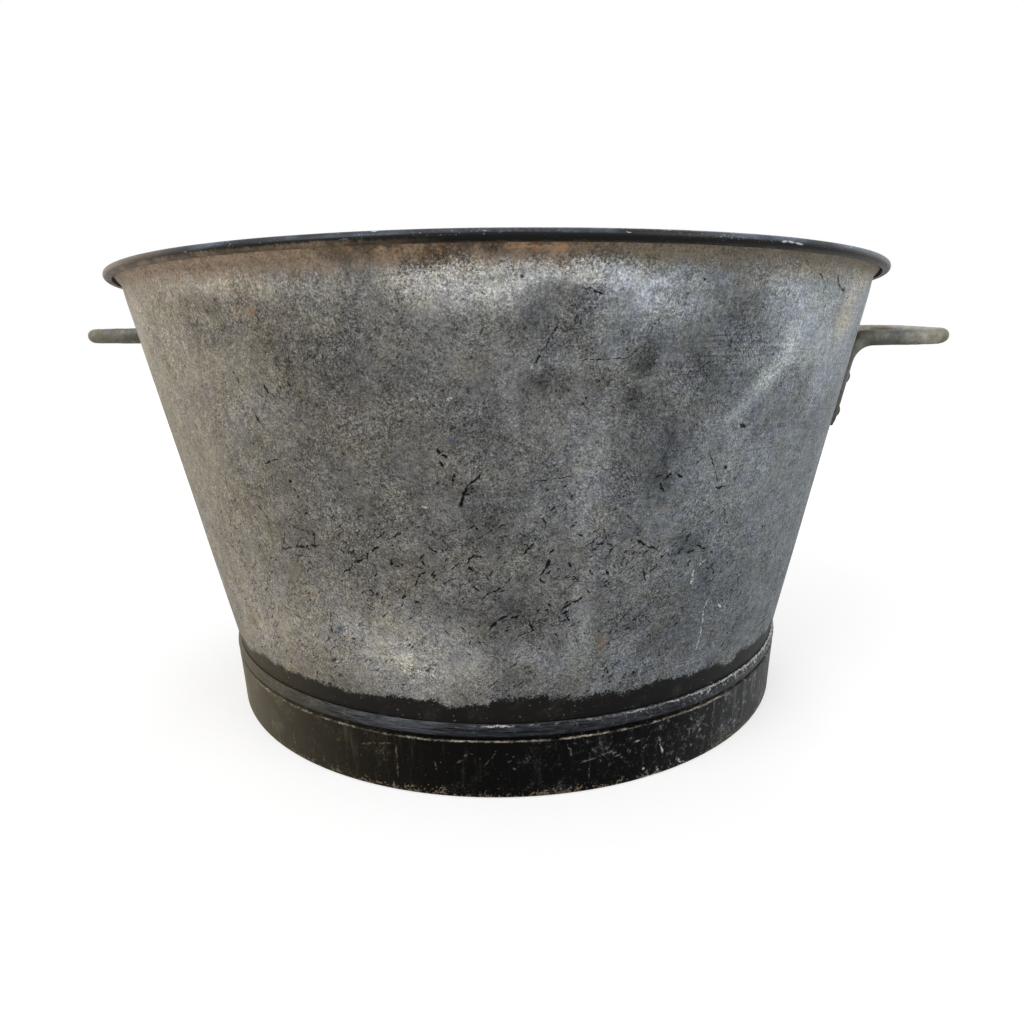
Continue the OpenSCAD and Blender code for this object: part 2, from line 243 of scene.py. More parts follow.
def turned_faces(path, azimuths, shift):
    """Both faces of a sheet turned about the axis, as rows of points that shift moves out and up."""
    grids = []
    for face in both_faces(path):
        rows = []
        for (r, z), (mid_r, mid_z) in zip(face, path):
            az = azimuths(r, mid_z)
            out, up = shift(az, mid_r, mid_z)
            rows.append(turned(r + out, z + up, az))
        grids.append(rows)
    return grids


rng = random.Random(11)
# Soft dents of the wall: azimuth, height, half length, half height, depth
DENTS = [(rng.uniform(0, 360), rng.uniform(110, 310), rng.uniform(26, 80), rng.uniform(20, 60),
          rng.uniform(-0.55, 0.4)) for _ in range(46)]
WAVES = [(n, rng.uniform(0, 360), 1.0 / n ** 0.6) for n in (2, 3, 5, 8, 13, 21, 34)]
# About the sum of the waves' strengths
WAVE_SUM = 2.2
# Where dents fade out: heights above the foot and below the rim, and degrees beside the seams
DENT_LOW, DENT_HIGH, SEAM_CLEAR = (66, 100), (320, 342), (3, 9)
# The same beside the handles: degrees, and the heights over which that sets in
HANDLE_CLEAR, HANDLE_LOW = (18, 30), (205, 240)
# Waver of the rim, and the heights over which it sets in
RIM_SLACK, RIM_FREE = 0.22, (340, 352)


def wave(az, shift=0.0):
    """A wavering value between about -1 and 1 round the tub."""
    return sum(g * np.sin(np.radians(n * az + ph + shift * n)) for n, ph, g in WAVES) / WAVE_SUM


def ease(x, lo, hi):
    """0 below lo, 1 above hi, smooth between them."""
    t = np.clip((x - lo) / (hi - lo), 0, 1)
    return t * t * (3 - 2 * t)


def dent(az, z):
    """How far the wall stands out from a true cone; none at the handles, seams, foot and rim."""
    out = 0.12 * wave(az) + 0.1 * wave(az, 40 + z * 0.2)
    for a, h, la, lz, depth in DENTS:
        da = (az - a + 180) % 360 - 180
        q = (np.radians(da) * UNROLL_R / la) ** 2 + ((z - h) / lz) ** 2
        out = out + depth * np.exp(-q)
    side = np.abs((az + 90) % 180 - 90)
    keep = ease(z, *DENT_LOW) * (1 - ease(z, *DENT_HIGH)) * ease(side, *SEAM_CLEAR)
    return out * keep * (1 - (1 - ease(side, *HANDLE_CLEAR)) * ease(z, *HANDLE_LOW))


def wall_shift(az, _, z):
    """Dents of the wall, and a small drop and shrink of the rim, which never stands out past the true one."""
    k = ease(z, *RIM_FREE)
    return dent(az, z) - RIM_SLACK * k * (1 + wave(az, 15)), -RIM_SLACK * k * (1 + wave(az, 77))


# Bends of the wall sheet's middle line
FLARE_WAY = ROLL_C - np.array([WALL_TOP_R, FLARE_Z])
FLARE_DIR = math.degrees(math.atan2(FLARE_WAY[1], FLARE_WAY[0])
                         + math.asin((ROLL_MID - SHEET / 2) / np.linalg.norm(FLARE_WAY)))
ROLL_START = FLARE_DIR + 90
GAP_AZ = math.degrees(JOINT_GAP / TAIL_R) / 2
# Ends of the lock seams: just above the bead and just below the flare
LOCK_Z0, LOCK_EDGE = 61.5, 0.2
LOCK_Z1 = FLARE_Z - LOCK_TOP
LAYER = SHEET + FIT
STEP_NEAR = LOCK_W / 2 + SHEET + BUTT_GAP
STEP_FAR = STEP_NEAR + SHEET
WALL_COLS, ROLL_STEPS, WALL_STEP = 216, 30, 5.0
# Keeps the bend of a fold under half of the fold's width
FOLD_SLACK = 0.998
OUTSIDE, INSIDE, RIM = 0, 1, 2


def wall_path():
    """Middle line of the wall sheet, from its hook to the roll's end, and its points before the roll."""
    hook_r = TAIL_R - 2.5 * SHEET - 2 * FIT
    low = TAIL_LOW + SHEET / 2
    tail_r = TAIL_R - SHEET / 2
    tilt, flare_tilt = WALL_TILT, math.radians(90 - FLARE_DIR)
    inward = np.array([-math.cos(tilt) - math.cos(flare_tilt), math.sin(tilt) + math.sin(flare_tilt)])
    bend = np.array([WALL_TOP_R, FLARE_Z]) + SHEET / 2 / (1 + math.cos(flare_tilt - tilt)) * inward
    roll = arc(ROLL_C, ROLL_MID, ROLL_START, ROLL_END - 360, ROLL_STEPS)
    fold_r = (tail_r - hook_r) / 2 * FOLD_SLACK
    seam = [(wall_r(z, -SHEET / 2), z, 1) for z in (LOCK_Z0 - LOCK_EDGE, LOCK_Z0 + LOCK_EDGE, LOCK_Z1)]
    path = rounded([(hook_r, TAIL_LOW + HOOK_H, 0), (hook_r, low, fold_r), (tail_r, low, fold_r),
                    (tail_r, FLOOR_H, 3), *seam, (bend[0], bend[1], 8), (roll[0][0], roll[0][1], 0)],
                   WALL_STEP)
    return path[:-1] + roll, len(path) - 1


def seam_hook(b, outline, z0, z1, place):
    """An outline (out of the wall, across the seam) run along the wall; its first edge faces the inside."""
    rows = [[place @ Vector((x, y, z)) for x, y in outline] for z in (z0, z1)]
    b.strip(rows, [INSIDE] + [OUTSIDE] * (len(outline) - 1), closed=True)
    b.cap(rows[0], OUTSIDE)
    b.cap(rows[1], OUTSIDE)


def outer_hook():
    far = -LOCK_W / 2 - SHEET
    return [(-SHEET - SEAT, STEP_NEAR), (-SHEET - SEAT, STEP_FAR), (3 * LAYER - 0.3, STEP_FAR),
            (3 * LAYER, STEP_FAR - 0.3), (3 * LAYER, far + 0.4), (3 * LAYER - 0.4, far), (FIT + 0.3, far),
            (FIT, far + 0.3), (FIT, LOCK_W / 2 - SHEET), (LAYER, LOCK_W / 2 - SHEET), (LAYER, -LOCK_W / 2),
            (3 * LAYER - SHEET, -LOCK_W / 2), (3 * LAYER - SHEET, STEP_NEAR)]


def inner_hook():
    film, near = FIT / 3, LOCK_W / 2
    return [(-SHEET - film, -2 * SHEET), (-SHEET - film, near + SHEET), (2 * LAYER, near + SHEET),
            (2 * LAYER, SHEET - near), (2 * LAYER - SHEET, SHEET - near), (2 * LAYER - SHEET, near),
            (film, near), (film, -2 * SHEET)]


def seam_place(az):
    return (Matrix.Rotation(math.radians(az), 4, "Z") @ Matrix.Translation((wall_r(LOCK_Z0), 0, LOCK_Z0))
            @ Matrix.Rotation(WALL_TILT, 4, "Y"))


def make_wall(name, az0, materials):
    """One wall sheet over the half turn from az0: its first edge is the outer hook of a lock seam."""
    path, before_roll = wall_path()
    t = np.linspace(0, 1, WALL_COLS + 1)

    def azimuths(r, mid_z):
        in_seam = LOCK_Z0 < mid_z < LOCK_Z1
        start = math.degrees(math.asin((STEP_NEAR + STEP_FAR) / 2 / r)) if in_seam else GAP_AZ
        return az0 + start + (180 - GAP_AZ - start) * t

    inner, outer = turned_faces(path, azimuths, wall_shift)
    b = Build()
    b.strip(inner[:before_roll + 4], INSIDE)
    b.strip(inner[before_roll + 3:], RIM)
    b.strip(outer[:before_roll + 1], OUTSIDE)
    b.strip(outer[before_roll:], RIM)
    b.ends((inner, outer), INSIDE)
    b.strip([inner[0], outer[0]], INSIDE)
    b.strip([inner[-1], outer[-1]], RIM)
    seam_len = (LOCK_Z1 - LOCK_Z0) / math.cos(WALL_TILT)
    seam_hook(b, outer_hook(), BUTT_GAP, seam_len - BUTT_GAP, seam_place(az0))
    seam_hook(b, inner_hook(), BUTT_GAP, seam_len - BUTT_GAP, seam_place(az0 + 180))
    return b.piece(name, materials)


# Waves of the skirt: heights and degrees beside the lap over which they set in and end
SKIRT_LOW, SKIRT_HIGH, LAP_CLEAR = (2, 14), (40, 44), (8, 16)
# Top of the bead's arc in degrees, and how finely the foot ring is cut
BEAD_END, BEAD_STEPS, FOOT_STEP, FOOT_COLS, LAP_COLS = 47, 22, 4.0, 480, 12
# Lap: its distance from the fold, and its bevel
LAP_DROP, BEVEL = 4, 0.2


def foot_shift(az, _, z):
    """Waves of the skirt, none at the lap, the hem and the bead."""
    back = np.abs((az - LAP_AZ + 180) % 360 - 180)
    waver = (0.16 * wave(az, 30 + z * 0.3) - 0.1) * ease(z, *SKIRT_LOW) * (1 - ease(z, *SKIRT_HIGH))
    return waver * ease(back, *LAP_CLEAR), 0.0


def make_foot_ring(name, materials):
    """Hem, skirt, groove and bead of the foot ring, and the lap that closes it at the back."""
    hem_r = foot_r(0, -SHEET) - FIT - SHEET / 2
    half = SHEET / 2
    fold_r = (foot_r(half, -half) - hem_r) / 2 * FOLD_SLACK
    groove_r = TAIL_R + FIT + half
    bead_c = np.array([TAIL_R + BEAD_OUT - BEAD_R, BEAD_Z])
    bead_mid = BEAD_R - half
    low_a = math.degrees(math.acos((groove_r - bead_c[0]) / bead_mid))
    bead = arc(bead_c, bead_mid, -low_a, BEAD_END, BEAD_STEPS)
    path = rounded([(hem_r, HEM_H, 0), (hem_r, half, fold_r), (foot_r(half, -half), half, fold_r),
                    (foot_r(FOOT_TOP - half, -half), FOOT_TOP - half, 0.8), (groove_r, FOOT_TOP - half, 0.7),
                    (bead[0][0], bead[0][1], 0)], FOOT_STEP)
    path = path[:-1] + bead
    gap = math.degrees(BUTT_GAP / FOOT_LOW_R)
    az = np.linspace(LAP_AZ, LAP_AZ + 360 - gap, FOOT_COLS + 1)
    grids = turned_faces(path, lambda *_: az, foot_shift)
    b = Build()
    for rows in grids:
        b.strip(rows)
    b.ends(grids)
    for i in (0, -1):
        b.strip([grid[i] for grid in grids])
    fold = math.degrees(SHEET / FOOT_LOW_R)
    low, top = HEM_H / 2, FOOT_TOP - LAP_DROP
    lap_az = np.linspace(LAP_AZ - gap - fold, LAP_AZ + math.degrees(LAP_L / FOOT_LOW_R), LAP_COLS + 1)
    over = SHEET + FIT
    corners = [(low, FIT), (low, over - BEVEL), (low + BEVEL, over), (top - BEVEL, over), (top, over - BEVEL),
               (top, FIT)]
    lap = [turned(foot_r(z, off), z, lap_az) for z, off in corners]
    b.strip(lap + lap[:1])
    for j in (0, -1):
        b.cap([row[j] for row in lap])
    return b.piece(name, materials)


# Radii between which the bottom sheet turns firm, its sag and waves, and how finely it is cut
BOTTOM_FIRM, BOTTOM_SAG, BOTTOM_WAVES = (215, 246), 0.45, 0.35
BOTTOM_STEP, BOTTOM_COLS = 7.0, 240


def bottom_shift(az, r, _):
    """Sag of the bottom sheet and its waves, none at its edge."""
    k = (1 - ease(r, *BOTTOM_FIRM)) * ease(r, 0, 30)
    sag = -BOTTOM_SAG * (1 - ease(r, 0, BOTTOM_FIRM[1]))
    return 0.0, sag - BOTTOM_WAVES * k * (1 + wave(az, r * 0.35))


def make_bottom(name, materials):
    """The bottom sheet, a little dished and dented, with its edge turned down inside the wall."""
    edge = TAIL_R - SHEET - FIT - SHEET / 2
    mid = FLOOR_H - FIT - SHEET / 2
    path = rounded([(0, mid, 0), (edge, mid, 1.2), (edge, TAIL_LOW + SHEET + FIT, 0)], BOTTOM_STEP)
    az = np.linspace(0, 360, BOTTOM_COLS + 1)
    grids = turned_faces(path, lambda *_: az, bottom_shift)
    b = Build()
    for rows in grids:
        b.strip(rows)
    b.strip([grid[-1] for grid in grids])
    return b.piece(name, materials)


RING_PTS = 36


def oval_ring(centre, wide, thick, power):
    """A closed ring of points: an oval for power 2, a bar with rounded edges for more."""
    ring = []
    for i in range(RING_PTS):
        a = 2 * math.pi * i / RING_PTS
        c, s = math.cos(a), math.sin(a)
        ring.append(centre + wide * math.copysign(abs(c) ** (2 / power), c)
                    + thick * math.copysign(abs(s) ** (2 / power), s))
    return ring


GRIP_X = wall_r(sum(HANDLE_Z) / 2) + GRIP_REACH
ROD_R = ROD_D / 2
# Distance from the wall at which the plain rod begins, and how finely its legs, bends and grip are cut
ROD_START, LEG_CUTS, BEND_CUTS, GRIP_CUTS = 19.0, 7, 15, 12


def lug_rings(h, leg):
    """Rings of one lug and its elbow, from the lug's end up to where the rod begins."""
    skew = math.radians(HANDLE_SKEW[h])
    z = HANDLE_Z[h] + leg * LEG_SPACING / 2 * math.sin(skew)
    y = LEG_SPACING / 2 * math.cos(skew)
    az = leg * math.asin(y / (wall_r(z) + KNUCKLE))
    out = Vector((math.cos(az), math.sin(az), 0))
    across = Vector((-math.sin(az), math.cos(az), 0)) * -leg
    hollow = (wall_r(z - KNUCKLE - ELBOW_R, SEAT + LUG_T + ELBOW_R), z - KNUCKLE - ELBOW_R)
    rings = []
    # plate on the wall: inner face beside the cone, outer face up to LUG_T further out
    face_up = Vector((-math.cos(WALL_TILT), 0, math.sin(WALL_TILT)))
    low, round_z = z - LUG_L, z - LUG_L + LUG_W / 2
    heights = [low + LUG_W / 2 * (1 - math.cos(a)) for a in np.linspace(0.16, math.pi / 2, 9)]
    heights += list(np.linspace(round_z, hollow[1] - 0.5, 11)[1:])
    for zz in heights:
        d = max(0.0, round_z - zz)
        wide = math.sqrt(max(0.05, (LUG_W / 2) ** 2 - d * d))
        thick = LUG_T / 2 * (0.8 + 0.2 * ease(zz, low, low + 7))
        mid = Vector((wall_r(zz, SEAT + thick), 0, zz))
        rings.append((mid, wide, face_up * thick, 6.0))
    # elbow about the hollow
    full = 180 - math.degrees(WALL_TILT)
    for a in np.linspace(full, 90, 19):
        k = ease(a, 90, full)
        to_wall = (LUG_T + ELBOW_R) / max(0.2, math.cos(math.radians(a - full)))
        to_top = (KNUCKLE + ELBOW_R + ROD_R) / max(0.2, math.sin(math.radians(a)))
        far = (to_wall ** -9 + to_top ** -9) ** (-1 / 9)
        near = ELBOW_R + KNUCKLE_PROUD * (1 - k)
        d = Vector((math.cos(math.radians(a)), 0, math.sin(math.radians(a))))
        mid = Vector((hollow[0], 0, hollow[1])) + d * (far + near) / 2
        wide = ROD_R + (LUG_W / 2 - ROD_R) * ease(a, 104, full - 4)
        rings.append((mid, wide, d * (far - near) / 2, 2 + 4 * ease(a, 100, full)))
    made = []
    for mid, wide, thick, power in rings:
        middle = out * mid.x + Vector((0, 0, mid.z))
        ring = oval_ring(middle, across * wide, out * thick.x + Vector((0, 0, thick.z)), power)
        bend = ease(wide, ROD_R, LUG_W / 2)
        made.append([p - out * bend * (p - middle).dot(across) ** 2 / (2 * wall_r(mid.z)) for p in ring])
    return made


def rod_rings(h):
    """Rings of the bent rod from the first leg to the second."""
    skew = math.radians(HANDLE_SKEW[h])
    side, straight = LEG_SPACING / 2 - BEND_R, GRIP_X - BEND_R
    leg_in = [wall_r(HANDLE_Z[h] + leg * LEG_SPACING / 2 * math.sin(skew)) + ROD_START for leg in (-1, 1)]
    flat = [(x, -LEG_SPACING / 2, 0.0) for x in np.linspace(leg_in[0], straight, LEG_CUTS)[:-1]]
    flat += [(straight + BEND_R * math.sin(a), -side - BEND_R * math.cos(a), a)
             for a in np.linspace(0, math.pi / 2, BEND_CUTS)]
    flat += [(GRIP_X, y, math.pi / 2) for y in np.linspace(-side, side, GRIP_CUTS)[1:-1]]
    flat += [(straight + BEND_R * math.cos(a), side + BEND_R * math.sin(a), math.pi / 2 + a)
             for a in np.linspace(0, math.pi / 2, BEND_CUTS)]
    flat += [(x, LEG_SPACING / 2, math.pi) for x in np.linspace(straight, leg_in[1], LEG_CUTS)[1:]]
    tip = Matrix.Rotation(skew, 3, "X")
    rings = []
    for i, (x, y, way) in enumerate(flat):
        wide = tip @ Vector((-math.sin(way), math.cos(way), 0))
        up = tip @ Vector((0, 0, 1))
        worn = 1 - 0.012 * (1 + math.sin(i * 0.9 + h)) - 0.006 * (1 + math.sin(i * 2.3))
        at = tip @ Vector((x, y, 0)) + Vector((0, 0, HANDLE_Z[h]))
        rings.append(oval_ring(at, wide * ROD_R * worn, up * ROD_R * worn, 2.0))
    return rings


def make_handle(name, h, materials):
    rings = lug_rings(h, -1) + rod_rings(h) + lug_rings(h, 1)[::-1]
    if h:
        half_turn = Matrix.Rotation(math.pi, 3, "Z")
        rings = [[half_turn @ p for p in ring] for ring in rings]
    b = Build()
    b.strip(rings, closed=True)
    b.cap(rings[0])
    b.cap(rings[-1])
    return b.piece(name, materials)


class Nodes:
    """A node tree, filled in small steps that return sockets."""

    def __init__(self, tree):
        self.tree = tree

    def put(self, socket, value):
        if isinstance(value, bpy.types.NodeSocket):
            self.tree.links.new(value, socket)
        elif socket.type == "RGBA" and len(value) == 3:
            socket.default_value = (*value, 1)
        else:
            socket.default_value = value

    def add(self, kind, ins, **settings):
        node = self.tree.nodes.new(kind)
        for key, value in settings.items():
            setattr(node, key, value)
        for key, value in ins.items():
            self.put(node.inputs[key], value)
        return node

    def math(self, op, *values, clamp=False):
        return self.add("ShaderNodeMath", dict(enumerate(values)), operation=op, use_clamp=clamp).outputs[0]


class Paint(Nodes):
    """A node material with a constant specular level, its shine."""

    def __init__(self, name, shine):
        self.mat = bpy.data.materials.new(name)
        self.mat.use_nodes = True
        super().__init__(self.mat.node_tree)
        self.bsdf = self.tree.nodes["Principled BSDF"]
        self.bsdf.inputs["Specular IOR Level"].default_value = shine

    def times(self, *values, clamp=False):
        """Product of two or more values, from the left."""
        total = values[0]
        for value in values[1:]:
            total = self.math("MULTIPLY", total, value, clamp=clamp)
        return total

    def added(self, value, gain, start):
        """start + gain*value."""
        return self.math("MULTIPLY_ADD", value, gain, start)

    def most(self, a, b):
        return self.math("MAXIMUM", a, b)

    def without(self, value):
        return self.math("SUBTRACT", 1.0, value)

    def vec(self, op, *values):
        return self.add("ShaderNodeVectorMath", dict(enumerate(values)), operation=op).outputs[0]

    def scaled(self, vector, factor):
        node = self.add("ShaderNodeVectorMath", {"Vector": vector, "Scale": factor}, operation="SCALE")
        return node.outputs[0]

    def place(self):
        """Object coordinates in mm."""
        return self.scaled(self.add("ShaderNodeTexCoord", {}).outputs["Object"], 1000.0)

    def split(self, vector):
        return list(self.add("ShaderNodeSeparateXYZ", {"Vector": vector}).outputs)

    def join(self, x, y, z=0.0):
        return self.add("ShaderNodeCombineXYZ", {"X": x, "Y": y, "Z": z}).outputs[0]

    def noise(self, vector, size, detail=3.0, rough=0.55, colour=False):
        """Noise about 0.5 with lumps of about the given size in mm."""
        node = self.add("ShaderNodeTexNoise", {"Vector": vector, "Scale": 1.0 / size, "Detail": detail,
                                               "Roughness": rough})
        return node.outputs["Color" if colour else "Fac"]

    def swing(self, value, gain, start=0.0):
        """start + gain*(value - 0.5)."""
        if isinstance(start, bpy.types.NodeSocket):
            return self.added(value, gain, self.math("ADD", start, -0.5 * gain))
        return self.added(value, gain, start - 0.5 * gain)

    def band(self, value, lo, hi):
        """0 below lo, 1 above hi; the other way round where hi is below lo."""
        node = self.add("ShaderNodeMapRange", {"Value": value, "From Min": lo, "From Max": hi},
                        interpolation_type="SMOOTHSTEP")
        return node.outputs[0]

    def spots(self, lo, hi, *noise):
        """A band of noise: spots where it is above hi."""
        return self.band(self.noise(*noise), lo, hi)

    def mix(self, factor, a, b):
        """Colour a where factor is 0, b where it is 1."""
        return self.add("ShaderNodeMix", {0: factor, 6: a, 7: b}, data_type="RGBA").outputs[2]

    def blend(self, factor, a, b):
        """Value a where factor is 0, b where it is 1."""
        return self.add("ShaderNodeMix", {0: factor, 2: a, 3: b}, data_type="FLOAT").outputs[0]

    def round_tub(self, x, y):
        """Way round the tub on the unrolled face."""
        return self.times(self.math("ARCTAN2", y, x), UNROLL_R)

    def radius(self, x, y):
        return self.math("SQRT", self.math("ADD", self.times(x, x), self.times(y, y)))

    def moved(self, vector, *way):
        return self.vec("ADD", vector, way)

    def stretched(self, vector, x, y=1.0):
        """Coordinates in which noise is drawn out: the smaller a factor, the longer along that way."""
        return self.vec("MULTIPLY", vector, (x, y, 1.0))

    def slanted(self, vector, angle):
        node = self.add("ShaderNodeVectorRotate", {"Vector": vector, "Angle": angle}, rotation_type="Z_AXIS")
        return node.outputs[0]

    def wobbled(self, face, pos, reach, *noise):
        """Coordinates of a face, shifted by up to half of reach by noise."""
        shift = self.vec("SUBTRACT", self.noise(pos, *noise, colour=True), (0.5, 0.5, 0.5))
        return self.vec("MULTIPLY_ADD", shift, (reach, reach, 0.0), face)

    def shaded(self, colour, factor):
        return self.vec("MULTIPLY", colour, self.join(factor, factor, factor))

    def tone(self, level, tint):
        """Colour of a display level from 0 to 1, tinted."""
        grey = self.math("POWER", self.most(level, DARKEST), GAMMA)
        return self.vec("MULTIPLY", self.join(grey, grey, grey), tint)

    def oval(self, coords, at, turn, half):
        """1 in the middle of an oval on the unrolled face, falling to 0 at its edge."""
        where = self.add("ShaderNodeMapping", {"Vector": coords, "Location": (at.x, at.y, 0),
                                               "Rotation": (0, 0, turn), "Scale": (half[0], half[1], 1)},
                         vector_type="TEXTURE")
        return self.add("ShaderNodeTexGradient", {"Vector": where.outputs[0]},
                        gradient_type="SPHERICAL").outputs["Fac"]

    def finish(self, colour, rough, metal, height, depth, strength):
        bump = self.add("ShaderNodeBump", {"Height": height, "Distance": depth, "Strength": strength})
        for key, value in (("Base Color", colour), ("Roughness", rough), ("Metallic", metal),
                           ("Normal", bump.outputs[0])):
            self.put(self.bsdf.inputs[key], value)
        return self.mat


# Display levels: from level to linear value, and the lowest level of a tone
GAMMA, DARKEST = 2.2, 0.02


def rgb(*levels):
    """Linear colour of three display levels from 0 to 255."""
    return tuple((level / 255) ** GAMMA for level in levels)


def seen_oval(px, py, half_w, half_h, turn):
    """Middle, turn and half axes on the unrolled wall of an oval that the photograph shows."""
    c, s = math.cos(math.radians(turn)), math.sin(math.radians(turn))
    at = unrolled(px, py)
    axes = []
    for dx, dy in ((half_w * c, -half_w * s), (-half_h * s, -half_h * c)):
        axes.append((unrolled(px + dx, py + dy) - unrolled(px - dx, py - dy)) / 2)
    return at, math.atan2(axes[0].y, axes[0].x), (axes[0].length, axes[1].length)


def seen_blots(paint, coords, blots, start):
    """start plus the gain of every blot: pixel, half width and half height in pixels, turn, gain."""
    total = start
    for *oval, gain in blots.values():
        total = paint.added(paint.oval(coords, *seen_oval(*oval)), gain, total)
    return total


def clear_blots(paint, coords, blots, gain):
    """The blots times gain, held between 0 and 1."""
    return paint.times(seen_blots(paint, coords, blots, 0.0), gain, clamp=True)


# Thin marks, in mm on the tub: width for each pixel of width, and how far a mark runs past its points
STROKE_MM, STROKE_END = 0.64, 0.4


def seen_strokes(paint, coords, strokes, gain, cone=WALL_CONE):
    """Up to 1 on thin marks that run through pixels of the photograph: points, then width in pixels."""
    total = 0.0
    for *points, width in strokes.values():
        for p, q in zip(points, points[1:]):
            a, b = unrolled(*p, cone), unrolled(*q, cone)
            way = b - a
            half = (way.length / 2 + STROKE_END, width * STROKE_MM / 2)
            fade = paint.oval(coords, (a + b) / 2, math.atan2(way.y, way.x), half)
            total = paint.most(fade, total)
    return paint.times(total, gain, clamp=True)


# Pale and dark patches of the wall: pixel, half width, half height, turn, gain in display levels
PATCHES = {
    "pale_band_left": (455, 285, 98, 46, 0, 0.40),
    "pale_band_mid": (560, 270, 130, 28, 0, 0.42),
    "pale_band_right": (652, 296, 80, 50, 0, 0.27),
    "pale_corner": (805, 315, 52, 48, 60, 0.19),
    "pale_left_rim": (240, 280, 120, 26, 3, 0.18),
    "pale_right_edge": (842, 325, 24, 70, 0, 0.16),
    "pale_left_edge": (140, 330, 30, 60, 0, 0.08),
    "pale_low_left": (410, 662, 90, 58, 0, 0.27),
    "pale_low_left_end": (305, 620, 70, 60, 0, 0.15),
    "pale_mid_streak": (582, 625, 18, 58, 4, 0.14),
    "pale_above_mid": (590, 470, 34, 90, 0, 0.09),
    "pale_foot_mid": (540, 662, 46, 22, 0, 0.10),
    "pale_foot_right": (615, 662, 30, 28, 0, 0.08),
    "pale_right_mid": (740, 455, 60, 60, 0, 0.06),
    "pale_spot_centre": (482, 478, 14, 12, 0, 0.07),
    "pale_left_mid": (265, 410, 40, 60, 0, 0.05),
    "under_rim_left": (360, 314, 56, 45, 0, 0.01),
    "dark_left_shoulder": (200, 325, 34, 34, 0, -0.07),
    "dark_top_centre": (520, 325, 40, 36, 0, -0.10),
    "dark_top_centre_right": (580, 325, 22, 24, 0, -0.10),
    "smudge_centre": (555, 382, 36, 20, 12, -0.17),
    "smudge_beside": (601, 387, 15, 11, 0, -0.12),
    "smudge_round": (641, 366, 19, 22, 0, -0.26),
    "smudge_below": (640, 404, 16, 14, 0, -0.18),
    "dark_centre": (480, 440, 62, 40, 0, -0.07),
    "dark_centre_low": (492, 525, 40, 50, 0, -0.10),
    "dark_centre_spot": (462, 492, 20, 16, 0, -0.11),
    "dark_column": (648, 455, 42, 72, 0, -0.10),
    "dark_column_edge": (664, 462, 20, 44, -8, -0.08),
    "dark_low_mid": (515, 615, 52, 38, 0, -0.09),
    "low_right": (645, 585, 60, 60, 0, 0.04),
    "dark_low_right_spot": (690, 545, 22, 22, 0, -0.12),
    "dark_blue_low": (690, 620, 80, 44, 0, -0.03),
    "dark_blue_right": (735, 580, 50, 60, 0, -0.05),
    "dark_shoulder_right": (752, 322, 34, 44, 0, -0.07),
    "dark_right_high": (705, 370, 34, 44, 0, -0.10),
    "dark_right_low": (760, 410, 60, 34, 0, -0.05),
    "dark_left_low": (235, 467, 16, 12, 0, -0.08),
    "dark_left_mid": (330, 370, 90, 60, 0, -0.05),
}
# Rubbed streaks of the wall, with clearer edges
STREAKS = {
    "rubbed_right": (770, 376, 60, 12, 46, 0.26),
    "rubbed_right_high": (792, 340, 30, 14, 62, 0.12),
    "rubbed_right_low": (735, 414, 24, 9, 44, 0.12),
}
